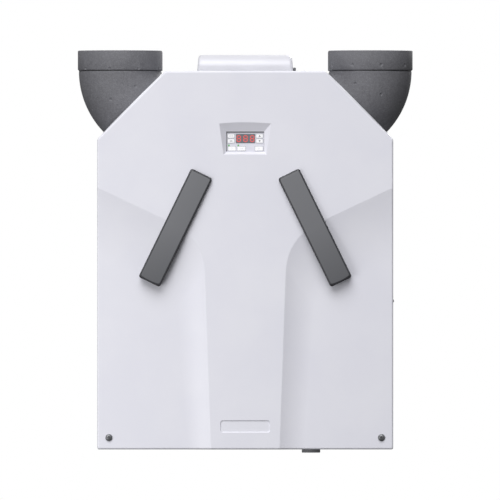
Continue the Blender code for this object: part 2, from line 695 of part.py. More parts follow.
def make_filter_drawer(side):
    axis = drawer_frames[side]
    handle = loft(f"{side}_filter_handle", handle_rings(), HANDLE_GREY, axis)
    half, end = HANDLE_WIDTH / 2 - HANDLE_WALL, HANDLE_LENGTH / 2 - HANDLE_WALL
    pocket_front = HANDLE_FRONT + HANDLE_CROWN + 0.003
    hollow = rectangle(half, -end, end)
    pocket = plate("handle_pocket", [hollow], HANDLE_BACK + 0.01, pocket_front, parent=axis)
    cut(handle, pocket)

    plug_half, plug_end = PLUG_WIDTH / 2, PLUG_LENGTH / 2
    plug_back = FILTER_FRONT - GAP
    plug_front = pocket_front + 0.0005
    plate(f"{side}_filter_plug", [rectangle(plug_half, -plug_end, plug_end)], plug_back, plug_front,
          CORE_FOAM, axis)
    seal_half, seal_end = plug_half + GAP, plug_end + GAP
    seal = [rounded(rectangle(0.0206, -0.1115, 0.1115), 0.004), rectangle(seal_half, -seal_end, seal_end)]
    plate(f"{side}_filter_seal", seal, LID_FRONT - 0.0005, HANDLE_BACK + GAP, RUBBER, axis)

    thick, length, border = FILTER_THICK / 2, FILTER_LENGTH / 2, 0.012
    card = block(f"{side}_filter_frame", (-thick, FILTER_FRONT, -length), (thick, FILTER_BACK, length),
                 FILTER_CARD, axis)
    window = block("filter_window", (-0.02, FILTER_FRONT + border, -length + border),
                   (0.02, FILTER_BACK - border, length - border), parent=axis)
    cut(card, window)
    pleats, lift = 15, 0.0075
    first = FILTER_FRONT + border + 0.002
    pitch = (FILTER_BACK - FILTER_FRONT - 2 * border - 0.004) / pleats
    zigzag = [((lift if k % 2 else -lift), first + pitch * k / 2) for k in range(2 * pleats + 1)]
    folded(f"{side}_filter_pleats", zigzag, -length + border + GAP, length - border - GAP,
           FILTER_CLOTH, 0.0006, axis, "Z")


# ---------------------------------------------------------------- fans
def blade_outlines(sign):
    """Backward-curved blades as thin outlines."""
    inner, outer, thick, lag = 0.040, IMPELLER_RADIUS - 0.0012, 0.0016, math.radians(38)
    outlines = []
    for k in range(BLADES):
        root = 2 * math.pi * k / BLADES
        sides = {-1: [], 1: []}
        for step in range(3):
            share = step / 2
            radius = inner + (outer - inner) * share
            angle = root - sign * lag * share ** 1.3
            for edge in sides:
                at = angle + edge * thick / 2 / radius
                sides[edge].append((radius * math.cos(at), radius * math.sin(at)))
        outlines.append(sides[-1] + sides[1][::-1])
    return outlines


def make_fan(name, side):
    sign = SIDES[side]
    axle = fan_frames[side]
    housing = plate(f"{name}_fan_housing", [scroll(0, sign)], FAN_BACK, FAN_FRONT, FAN_PLASTIC)
    inside = (FAN_BACK - FAN_WALL, FAN_FRONT + FAN_WALL)
    cut(housing, plate("scroll_space", [scroll(FAN_WALL, sign)], *inside))
    cut(housing, rod("fan_inlet", FAN_INLET, -0.12, -0.15, parent=axle, steps=24))
    low, high = sorted((sign * (FAN_X + 0.0270), sign * (FAN_X + 0.0890)))
    cut(housing, block("fan_outlet", (low, inside[1], 0.200), (high, inside[0], 0.220)))

    bore, boss = SHAFT + 0.0004, 0.010
    disc, boss_end = IMPELLER_BACK + 0.002, IMPELLER_BACK + 0.0075
    profile = [(IMPELLER_RADIUS, disc), (IMPELLER_RADIUS, IMPELLER_BACK), (bore, IMPELLER_BACK),
               (bore, boss_end), (boss, boss_end), (boss, disc)]
    wheel = turned(f"{name}_impeller", profile, FAN_PLASTIC, axle)
    wheel.rotation_euler.x = math.pi / 2
    blade_back, blade_front = -IMPELLER_BACK - 0.001, -IMPELLER_FRONT + 0.001
    blades = plate("blades", blade_outlines(sign), blade_back, blade_front, parent=axle)
    rim = plate("shroud", [circle(IMPELLER_RADIUS, steps=RIM_STEPS), circle(0.047, steps=RIM_STEPS)],
                -IMPELLER_FRONT + 0.0025, -IMPELLER_FRONT, parent=axle)
    combine(wheel, blades, "UNION")
    combine(wheel, rim, "UNION")

    base = -FAN_BACK + FAN_WALL + GAP
    tip, top, radius = 0.0935, 0.0815, 0.030
    profile = [(0.0, tip), (SHAFT, tip), (SHAFT, top), (radius - 0.003, top), (radius, top - 0.003),
               (radius, base), (0.0, base)]
    motor = turned(f"{name}_fan_motor", profile, MOTOR_METAL, axle, closed=False)
    motor.rotation_euler.x = math.pi / 2


# ---------------------------------------------------------------- bypass and condensate
def make_bypass():
    """A flap that opens a way past the exchanger, on the spindle of its servo."""
    flap = block("bypass_flap", (-0.0155, -0.336, -0.0012), (0.0155, -0.149, 0.0012), BLACK, flap_frame)
    combine(flap, rod("spindle", 0.0030, -0.100, -0.342, parent=flap_frame, steps=12), "UNION")
    servo = block("bypass_servo", (-0.014, -0.1175, -0.020), (0.014, -0.062, 0.020), BLACK, flap_frame)
    bevel(servo, 0.0015, 1)
    cut(servo, rod("servo_bore", 0.0034, -0.098, -0.13, parent=flap_frame, steps=12))


def make_drain():
    tray = block("condensate_tray", (0.0125, -0.3405, TRAY_FLOOR), (0.2550, -0.1380, 0.0400), BLACK)
    cut(tray, block("tray_inside", (0.0145, -0.3385, TRAY_FLOOR + 0.002), (0.2530, -0.1400, 0.06)))
    cut(tray, rod("tray_drain", DRAIN_RADII[0], 0.0, 0.06, axis="Z", centre=(DRAIN_X, DRAIN_Y, 0)))
    top, low = TRAY_FLOOR - GAP, -0.0072
    bore, outer = DRAIN_RADII
    profile = [(outer, top), (outer, low + 0.001), (outer - 0.0006, low), (bore, low), (bore, top)]
    spigot = turned("drain_spigot", profile, HANDLE_GREY, steps=20)
    spigot.location = (DRAIN_X, DRAIN_Y, 0)


# ---------------------------------------------------------------- control and display
def make_control():
    box = block("control_box", (-0.0725, -0.3460, 0.5410), (0.0725, -0.2695, 0.6905), BLACK)
    cut(box, block("box_inside", (-0.0705, -0.36, 0.5430), (0.0705, -0.2715, 0.6885)))
    cut(box, block("wire_exit", (-0.030, -0.320, 0.68), (0.030, -0.305, 0.70)))
    board = plate("control_board", [rectangle(0.066, 0.548, 0.683)], -0.2785, -0.2801, BOARD_GREEN)
    chips = [(-0.035, 0.640, 0.034, 0.030, 0.022), (0.030, 0.650, 0.044, 0.018, 0.014),
             (-0.030, 0.580, 0.022, 0.022, 0.006), (0.032, 0.590, 0.030, 0.016, 0.016)]
    for x, z, width, height, depth in chips:
        low = (x - width / 2, -0.2795 - depth, z - height / 2)
        high = (x + width / 2, -0.2795, z + height / 2)
        combine(board, block("component", low, high), "UNION")


def make_display():
    window = rectangle(0.01785, 0.5756, 0.5922, 0.00055)
    clear = rectangle(0.01815, 0.5753, 0.5925, 0.00055)
    holes = [clear]
    for name, (x, z, width, height) in KEYS.items():
        holes.append(rectangle(width / 2 + GAP, z - height / 2 - GAP, z + height / 2 + GAP, x))
        cap = plate(name, [rectangle(width / 2, z - height / 2, z + height / 2, x)],
                    KEY_BACK, FASCIA_FRONT - KEY_PROUD, KEY_WHITE)
        bevel(cap, 0.0005, 1)
    lights = {"timer_light": (-0.0306, 0.5713), "bypass_light": (-0.0130, 0.5713)}
    holes += [circle(0.0016, x, z, 12) for x, z in lights.values()]
    plate("keypad_fascia", [rectangle(0.040, 0.5545, 0.6025), *holes], FASCIA_BACK, FASCIA_FRONT, FASCIA)
    plate("display_window", [window], KEY_BACK, FASCIA_FRONT - 0.0004, SMOKED)
    for name, (x, z) in lights.items():
        rod(name, 0.0013, KEY_BACK, FASCIA_FRONT - 0.0006, GREEN_LED, centre=(x, 0, z), steps=12)
    plate("display_board", [rectangle(0.042, 0.552, 0.606)], BOARD_FRONT + 0.0016, BOARD_FRONT, BOARD_GREEN)


# ---------------------------------------------------------------- roof
def make_terminal_cover():
    """Moulded hood over the roof's wiring opening, with drafted sides and a rolled front edge."""
    body = bmesh.new()
    bmesh.ops.create_cube(body, size=1.0)
    low, high = COVER_HEIGHT - CASE_INSET + GAP, 0.7416
    back, front, half = -0.215, -0.345, 0.0906
    draft = math.tan(math.radians(5)) * (high - low)
    for corner in body.verts:
        top = corner.co.z > 0
        corner.co.x = math.copysign(half - (draft if top else 0), corner.co.x)
        corner.co.y = (front + (draft if top else 0)) if corner.co.y < 0 else (back - (draft if top else 0))
        corner.co.z = high if top else low
    bmesh.ops.delete(body, geom=[f for f in body.faces if f.normal.z < -0.9], context="FACES_ONLY")
    brow = [e for e in body.edges if all(v.co.z > low + 0.01 and v.co.y < -0.3 for v in e.verts)]
    bmesh.ops.bevel(body, geom=brow, offset=0.020, segments=4, profile=0.5, affect="EDGES")
    bmesh.ops.recalc_face_normals(body, faces=body.faces)
    mesh = bpy.data.meshes.new("terminal_cover")
    body.to_mesh(mesh)
    body.free()
    hood = add("terminal_cover", mesh, COVER_WHITE)
    bevel(hood, 0.0062, 2, 40)
    wall = hood.modifiers.new("wall", "SOLIDIFY")
    wall.thickness = 0.0022
    wall.offset = -1.0
    wall.use_even_offset = True
    cut(hood, rod("grommet_hole", 0.0028, 0.08, 0.10, axis="X", centre=(0, -0.280, 0.7150), steps=12))

    neck, lip = 0.0024, 0.0034
    profile = [(0.0, 0.0955), (neck, 0.0955), (lip, 0.0945), (lip, 0.0909), (neck, 0.0909), (neck, 0.0872),
               (lip, 0.0872), (lip, 0.0855), (0.0, 0.0855)]
    grommet = turned("cable_grommet", profile, RUBBER, steps=12, closed=False)
    grommet.rotation_euler.y = math.pi / 2
    grommet.location = (0, -0.280, 0.7150)


def make_screws():
    dome = [(0.0, 0.0047), (0.0026, 0.0042), (0.00375, 0.0020), (0.00375, 0.0), (0.0, 0.0)]
    stud = turned("side_screw", dome, BLACK, steps=12, closed=False)
    stud.location = (COVER_WIDTH / 2 - CASE_INSET + GAP, -0.330, 0.279)
    stud.rotation_euler.y = math.pi / 2

    head = -COVER_FRONT - RECESS_DEPTH + GAP
    end = -FOAM_FRONT - 0.012
    profile = [(0.0, head + 0.0037), (0.0035, head + 0.0032), (0.0058, head + 0.0018), (0.00665, head),
               (0.0021, head), (0.0021, end), (0.0, end)]
    for side, sign in SIDES.items():
        screw = turned(f"{side}_cover_screw", profile, BLACK, steps=16, closed=False)
        screw.location = (sign * SCREW_X, 0, SCREW_Z)
        screw.rotation_euler.x = math.pi / 2


# ---------------------------------------------------------------- ducts
def duct_ring(along, radius):
    """A ring of points across the duct's path, which runs straight, round the bend and straight again."""
    bend_length = DUCT_BEND * math.pi / 4
    turn = min(max(along, 0.0), bend_length) / DUCT_BEND
    straight = min(along, 0.0) + max(along - bend_length, 0.0)
    tilt = Matrix.Rotation(turn, 3, "Y")
    on_arc = Vector((DUCT_BEND * (1 - math.cos(turn)), 0, DUCT_BEND * math.sin(turn)))
    centre = on_arc + tilt @ Vector((0, 0, straight))
    return [centre + tilt @ Vector((x, y, 0)) for x, y in circle(radius, steps=RIM_STEPS)]


def make_duct(side, place):
    """Foam bend with a spigot tail below and a lap joint above, and its collar."""
    axis = duct_frames[side, place]
    bend_length = DUCT_BEND * math.pi / 4
    lap_end = bend_length + DUCT_LAP_LENGTH
    steps = 4
    bends = [bend_length * k / steps for k in range(steps + 1)]
    outside = [(DUCT_TAIL, DUCT_SPIGOT), (0.0, DUCT_SPIGOT)] + [(at, DUCT_OUTER) for at in bends]
    outside += [(bend_length, DUCT_LAP), (lap_end, DUCT_LAP)]
    inside = [(lap_end, DUCT_BORE)] + [(at, DUCT_BORE) for at in reversed(bends)]
    stations = outside + inside + [(DUCT_TAIL, DUCT_BORE)]
    loft(f"{side}_{place}_elbow", [duct_ring(*station) for station in stations], DUCT_GREY, axis, looped=True)

    top, step, lap = DUCT_COLLAR_HEIGHT, DUCT_LAP_LENGTH + GAP, DUCT_LAP + GAP
    profile = [(DUCT_COLLAR - 0.0015, top), (DUCT_COLLAR, top - 0.0015), (DUCT_COLLAR, DUCT_SEAM + 0.001),
               (DUCT_COLLAR - 0.001, DUCT_SEAM), (lap, DUCT_SEAM), (lap, step), (DUCT_BORE, step),
               (DUCT_BORE, top - 0.002), (DUCT_BORE + 0.002, top)]
    collar = turned(f"{side}_{place}_collar", profile, DUCT_GREY)
    collar_x = SIDES[side] * (DUCT_BEND_CENTRE_X + DUCT_BEND)
    collar.location = (collar_x, DUCT_DEPTHS[place], DUCT_BEND_CENTRE_Z)


# ---------------------------------------------------------------- assembly
fan_frames = {side: frame(f"{side}_fan_axis", (sign * FAN_X, 0, FAN_Z)) for side, sign in SIDES.items()}
flap_frame = frame("bypass_axis", (BYPASS_X, 0, BYPASS_Z))
bpy.context.view_layer.update()

make_wall_rail()
make_casing()
make_cover()
make_foam()
make_exchanger()
for drawer_side in SIDES:
    make_filter_drawer(drawer_side)
make_fan("exhaust", "left")
make_fan("supply", "right")
make_bypass()
make_drain()
make_control()
make_display()
make_terminal_cover()
make_screws()
for duct_side, duct_place in duct_frames:
    make_duct(duct_side, duct_place)
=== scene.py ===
import math

import bmesh
import bpy
from mathutils import Matrix, Vector


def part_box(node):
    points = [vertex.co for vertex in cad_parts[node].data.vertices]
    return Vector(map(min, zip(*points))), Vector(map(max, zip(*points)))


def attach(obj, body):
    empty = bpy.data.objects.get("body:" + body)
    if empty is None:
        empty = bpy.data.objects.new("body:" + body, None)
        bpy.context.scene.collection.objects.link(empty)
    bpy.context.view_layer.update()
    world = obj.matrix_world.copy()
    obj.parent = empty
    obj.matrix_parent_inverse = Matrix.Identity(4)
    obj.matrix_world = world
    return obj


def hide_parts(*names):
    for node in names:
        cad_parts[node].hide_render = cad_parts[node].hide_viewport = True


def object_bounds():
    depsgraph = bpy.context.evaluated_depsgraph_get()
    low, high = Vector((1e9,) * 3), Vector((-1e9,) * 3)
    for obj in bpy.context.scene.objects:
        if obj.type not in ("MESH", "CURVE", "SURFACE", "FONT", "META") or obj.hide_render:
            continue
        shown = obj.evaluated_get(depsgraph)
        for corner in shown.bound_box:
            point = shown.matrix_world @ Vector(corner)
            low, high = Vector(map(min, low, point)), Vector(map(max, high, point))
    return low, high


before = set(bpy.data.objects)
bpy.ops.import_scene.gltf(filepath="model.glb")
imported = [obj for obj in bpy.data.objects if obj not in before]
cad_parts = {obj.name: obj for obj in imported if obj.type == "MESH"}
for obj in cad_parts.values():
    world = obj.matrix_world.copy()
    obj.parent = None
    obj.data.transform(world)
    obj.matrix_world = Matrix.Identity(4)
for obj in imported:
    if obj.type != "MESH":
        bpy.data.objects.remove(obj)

cadLow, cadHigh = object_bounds()
mm = 0.001
print("frame loaded, mm:", [round(side / mm) for side in cadHigh - cadLow])


# camera and light
studio = {
    "viewWidth": 0.939,       # metres across the view at the cover's front
    "aim": (0.009, -0.2253),  # x and z in the middle of the view
    "distance": 34.0,         # far away, so that the view is almost parallel
    "sensor": 36, "clipEnd": 200,
    "fillStrength": (0.05, 0.41),   # of the surroundings, straight below and straight above
    "lights": {               # place, size and power of each
        "keyLight": ((-1.3, -5.9, 6.4), 7.5, 745),
        "leftLight": ((-1.7, -2.7, -0.55), 1.5, 22),
        "lowLight": ((-0.75, -1.05, -0.8), 0.25, 0.8),
        "backLight": ((2.4, 5.5, 3.6), 3.0, 420),
    },
}


# linear colour of a hex text in sRGB
def linear(hexText):
    channels = [int(hexText[k:k + 2], 16) / 255 for k in (1, 3, 5)]
    return [c / 12.92 if c <= 0.04045 else ((c + 0.055) / 1.055) ** 2.4 for c in channels] + [1.0]


# an input is a value, or a socket that is then linked
def addNode(tree, kind, inputs=None, **settings):
    node = tree.nodes.new(kind)
    for name, value in settings.items():
        setattr(node, name, value)
    for socket, value in (inputs or {}).items():
        if isinstance(value, bpy.types.NodeSocket):
            tree.links.new(value, node.inputs[socket])
        else:
            node.inputs[socket].default_value = value
    return node


def makeCamera():
    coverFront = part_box("front_cover")[0].y
    view = bpy.data.cameras.new("frontView")
    view.sensor_width = studio["sensor"]
    view.lens = studio["sensor"] * studio["distance"] / studio["viewWidth"]
    view.clip_end = studio["clipEnd"]
    camera = bpy.data.objects.new("frontView", view)
    camera.location = (studio["aim"][0], coverFront - studio["distance"], studio["aim"][1])
    camera.rotation_euler = (math.pi / 2, 0, 0)
    bpy.context.scene.collection.objects.link(camera)
    bpy.context.scene.camera = camera


def makeLight(name, place, size, power):
    lamp = bpy.data.lights.new(name, "AREA")
    lamp.shape = "DISK"
    lamp.size = size
    lamp.energy = power
    thing = bpy.data.objects.new(name, lamp)
    thing.location = place
    middle = (cadLow + cadHigh) / 2
    thing.rotation_euler = (middle - Vector(place)).to_track_quat("-Z", "Y").to_euler()
    bpy.context.scene.collection.objects.link(thing)


# the surroundings are white to the camera; as light they are grey and brighter towards the top
def makeStudio():
    world = bpy.data.worlds.new("studio")
    bpy.context.scene.world = world
    world.use_nodes = True
    tree = world.node_tree
    tree.nodes.clear()
    ray = addNode(tree, "ShaderNodeLightPath")
    toward = addNode(tree, "ShaderNodeTexCoord")
    height = addNode(tree, "ShaderNodeSeparateXYZ", {0: toward.outputs["Generated"]})
    below, above = studio["fillStrength"]
    fill = addNode(tree, "ShaderNodeMapRange", {
        0: height.outputs["Z"], 1: -1.0, 2: 1.0, 3: below, 4: above})
    strength = addNode(tree, "ShaderNodeMix", {
        0: ray.outputs["Is Camera Ray"], 2: fill.outputs[0], 3: 1.0}, data_type="FLOAT")
    sky = addNode(tree, "ShaderNodeBackground", {
        "Color": linear("#ffffff"), "Strength": strength.outputs[0]})
    addNode(tree, "ShaderNodeOutputWorld", {"Surface": sky.outputs[0]})
    bpy.context.scene.view_settings.view_transform = "Standard"

    for name, (place, size, power) in studio["lights"].items():
        makeLight(name, place, size, power)


# link sockets to the shader's inputs by name
def feed(tree, shader, sources):
    for name, socket in sources.items():
        tree.links.new(socket, shader.inputs[name])


# finishes; sizes in their settings are in mm
def newMaterial(name, sockets):
    material = bpy.data.materials.new(name)
    material.use_nodes = True
    shader = material.node_tree.nodes["Principled BSDF"]
    for socket, value in sockets.items():
        shader.inputs[socket].default_value = value
    place = addNode(material.node_tree, "ShaderNodeTexCoord").outputs["Object"]
    return material, material.node_tree, shader, place


# Moulded or coated surface: two close tones in wide patches, a fine grain that breaks up the gloss.
def mouldedPlastic(name, look):
    material, tree, shader, place = newMaterial(name, {
        "Metallic": look.get("metallic", 0.0), "IOR": look.get("ior", 1.5)})
    dark, light = look["colours"]
    patches = addNode(tree, "ShaderNodeTexNoise", {
        "Vector": place, "Scale": 1000 / look["patch"], "Detail": 3.0})
    spread = addNode(tree, "ShaderNodeMapRange", {0: patches.outputs[0], 1: 0.35, 2: 0.65})
    tone = addNode(tree, "ShaderNodeMix", {
        0: spread.outputs[0], 6: linear(dark), 7: linear(light)}, data_type="RGBA")
    grain = addNode(tree, "ShaderNodeTexNoise", {
        "Vector": place, "Scale": 1000 / look["grain"], "Detail": 2.0})
    gloss = addNode(tree, "ShaderNodeMapRange", {
        0: grain.outputs[0], 3: look["roughness"][0], 4: look["roughness"][1]})
    bump = addNode(tree, "ShaderNodeBump", {
        "Height": grain.outputs[0], "Strength": look.get("strength", 0.6), "Distance": look["relief"] * mm})
    feed(tree, shader, {
        "Base Color": tone.outputs[2], "Roughness": gloss.outputs[0], "Normal": bump.outputs[0]})
    return material


# Expanded polypropylene, steam-moulded from beads: matt, with a cell pattern of pressed beads and
# darker lines between them, and slow cloudy patches where the steam fused them more.
def beadFoam(name, look):
    material, tree, shader, place = newMaterial(name, {"IOR": 1.49})
    dark, light = look["colours"]
    beadScale = 1000 / look["bead"]
    cells = addNode(tree, "ShaderNodeTexVoronoi", {"Vector": place, "Scale": beadScale})
    edges = addNode(tree, "ShaderNodeTexVoronoi", {"Vector": place, "Scale": beadScale},
                    feature="DISTANCE_TO_EDGE")
    cloud = addNode(tree, "ShaderNodeTexNoise", {
        "Vector": place, "Scale": 1000 / look["cloud"], "Detail": 4.0})
    cellTone = addNode(tree, "ShaderNodeSeparateColor", {0: cells.outputs["Color"]})
    blend = addNode(tree, "ShaderNodeMath", {0: cellTone.outputs[0], 1: cloud.outputs[0]}, operation="ADD")
    share = addNode(tree, "ShaderNodeMapRange", {0: blend.outputs[0], 1: 0.35, 2: 1.65})
    tone = addNode(tree, "ShaderNodeMix", {
        0: share.outputs[0], 6: linear(dark), 7: linear(light)}, data_type="RGBA")
    crease = addNode(tree, "ShaderNodeMapRange", {
        0: edges.outputs["Distance"], 1: 0.0, 2: 0.12, 3: 0.72, 4: 1.0})
    lined = addNode(tree, "ShaderNodeMix", {
        0: 1.0, 6: tone.outputs[2], 7: crease.outputs[0]}, data_type="RGBA", blend_type="MULTIPLY")
    swell = addNode(tree, "ShaderNodeMapRange", {0: edges.outputs["Distance"], 1: 0.0, 2: 0.35})
    bump = addNode(tree, "ShaderNodeBump", {
        "Height": swell.outputs[0], "Strength": 0.7, "Distance": look["relief"] * mm})
    gloss = addNode(tree, "ShaderNodeMapRange", {0: cellTone.outputs[0], 3: 0.62, 4: 0.8})
    feed(tree, shader, {
        "Base Color": lined.outputs[2], "Roughness": gloss.outputs[0], "Normal": bump.outputs[0]})
    return material


# Hot-dip galvanised steel: interlocking zinc crystals, each with its own tone and sheen.
def galvanisedSteel(look):
    material, tree, shader, place = newMaterial("galvanisedSteel", {"Metallic": 1.0})
    crystals = addNode(tree, "ShaderNodeTexVoronoi", {"Vector": place, "Scale": 1000 / look["crystal"]})
    tone = addNode(tree, "ShaderNodeSeparateColor", {0: crystals.outputs["Color"]})
    shade = addNode(tree, "ShaderNodeMix", {
        0: tone.outputs[0], 6: linear(look["colours"][0]), 7: linear(look["colours"][1])}, data_type="RGBA")
    gloss = addNode(tree, "ShaderNodeMapRange", {0: tone.outputs[1], 3: 0.38, 4: 0.48})
    feed(tree, shader, {"Base Color": shade.outputs[2], "Roughness": gloss.outputs[0]})
    return material


# Handle face, ABS moulded with fine cross ribs in its lower half; painted shade darkens its colour towards
# the lower end.
def ribbedHandle(look):
    material, tree, shader, place = newMaterial("ribbedHandleAbs", {"IOR": 1.53})
    grain = addNode(tree, "ShaderNodeTexNoise", {
        "Vector": place, "Scale": 1000 / look["grain"], "Detail": 2.0})
    parts = addNode(tree, "ShaderNodeSeparateXYZ", {0: place})
    ribs = addNode(tree, "ShaderNodeMath", {
        0: parts.outputs["Z"], 1: 2 * math.pi / (look["pitch"] * mm)}, operation="MULTIPLY")
    wave = addNode(tree, "ShaderNodeMath", {0: ribs.outputs[0]}, operation="SINE")
    lower = addNode(tree, "ShaderNodeMapRange", {
        0: parts.outputs["Z"], 1: 0.0, 2: -0.05, 3: 0.0, 4: 1.0})
    masked = addNode(tree, "ShaderNodeMath", {
        0: wave.outputs[0], 1: lower.outputs[0]}, operation="MULTIPLY")
    height = addNode(tree, "ShaderNodeMath", {0: masked.outputs[0], 1: 0.5, 2: grain.outputs[0]},
                     operation="MULTIPLY_ADD")
    # painted shade: the face's colour darkens towards its lower end
    paintedLowerShade = addNode(tree, "ShaderNodeMapRange", {0: parts.outputs["Z"], 1: -0.11, 2: 0.0})
    tone = addNode(tree, "ShaderNodeMix", {
        0: paintedLowerShade.outputs[0], 6: linear(look["colours"][0]), 7: linear(look["colours"][1])}, data_type="RGBA")
    gloss = addNode(tree, "ShaderNodeMapRange", {0: grain.outputs[0], 3: 0.42, 4: 0.54})
    bump = addNode(tree, "ShaderNodeBump", {
        "Height": height.outputs[0], "Strength": 0.35, "Distance": look["relief"] * mm})
    feed(tree, shader, {
        "Base Color": tone.outputs[2], "Roughness": gloss.outputs[0], "Normal": bump.outputs[0]})
    return material


# Circuit board, glass-fibre laminate under green solder mask: lighter copper tracks about 1.2 mm apart
# show through.
def circuitBoard():
    material, tree, shader, place = newMaterial("solderMaskBoard", {"IOR": 1.55, "Roughness": 0.35})
    tracks = addNode(tree, "ShaderNodeTexBrick", {
        "Vector": place, "Color1": linear("#1d6b3a"), "Color2": linear("#185a31"),
        "Mortar": linear("#2f8450"), "Scale": 1000 / 5, "Mortar Size": 0.03})
    bump = addNode(tree, "ShaderNodeBump", {"Height": tracks.outputs["Fac"], "Distance": 0.05 * mm})
    feed(tree, shader, {"Base Color": tracks.outputs["Color"], "Normal": bump.outputs[0]})
    return material


# Lit LED, cast in diffusing epoxy: a hazy, even glow.
def litEpoxy(name, colour, glow, strength):
    material, tree, shader, place = newMaterial(name, {
        "IOR": 1.54, "Roughness": 0.3, "Emission Color": linear(glow), "Emission Strength": strength})
    haze = addNode(tree, "ShaderNodeTexNoise", {"Vector": place, "Scale": 1000 / 1.2})
    tone = addNode(tree, "ShaderNodeMix", {
        0: haze.outputs[0], 6: linear(colour), 7: linear(glow)}, data_type="RGBA")
    feed(tree, shader, {"Base Color": tone.outputs[2]})
    return material


# Striped material: the edges of stacked plates, or the folds and fibres of a fleece, as a wave across.
def layered(name, look):
    material, tree, shader, place = newMaterial(name, {
        "IOR": look["ior"], "Roughness": look["roughness"]})
    fibre = addNode(tree, "ShaderNodeTexNoise", {
        "Vector": place, "Scale": 1000 / look["grain"], "Detail": 5.0})
    wavesPerScale = 20 / (2 * math.pi)     # a wave texture of scale 1 has this many in a metre
    bands = addNode(tree, "ShaderNodeTexWave", {
        "Vector": place, "Scale": 1000 / look["pitch"] / wavesPerScale, "Distortion": look["wander"]},
        bands_direction=look["across"])
    share = addNode(tree, "ShaderNodeMath", {
        0: bands.outputs["Fac"], 1: fibre.outputs[0]}, operation="MULTIPLY")
    tone = addNode(tree, "ShaderNodeMix", {
        0: share.outputs[0], 6: linear(look["colours"][0]), 7: linear(look["colours"][1])}, data_type="RGBA")
    bump = addNode(tree, "ShaderNodeBump", {
        "Height": share.outputs[0], "Strength": 0.6, "Distance": look["relief"] * mm})
    feed(tree, shader, {"Base Color": tone.outputs[2], "Normal": bump.outputs[0]})
    return material


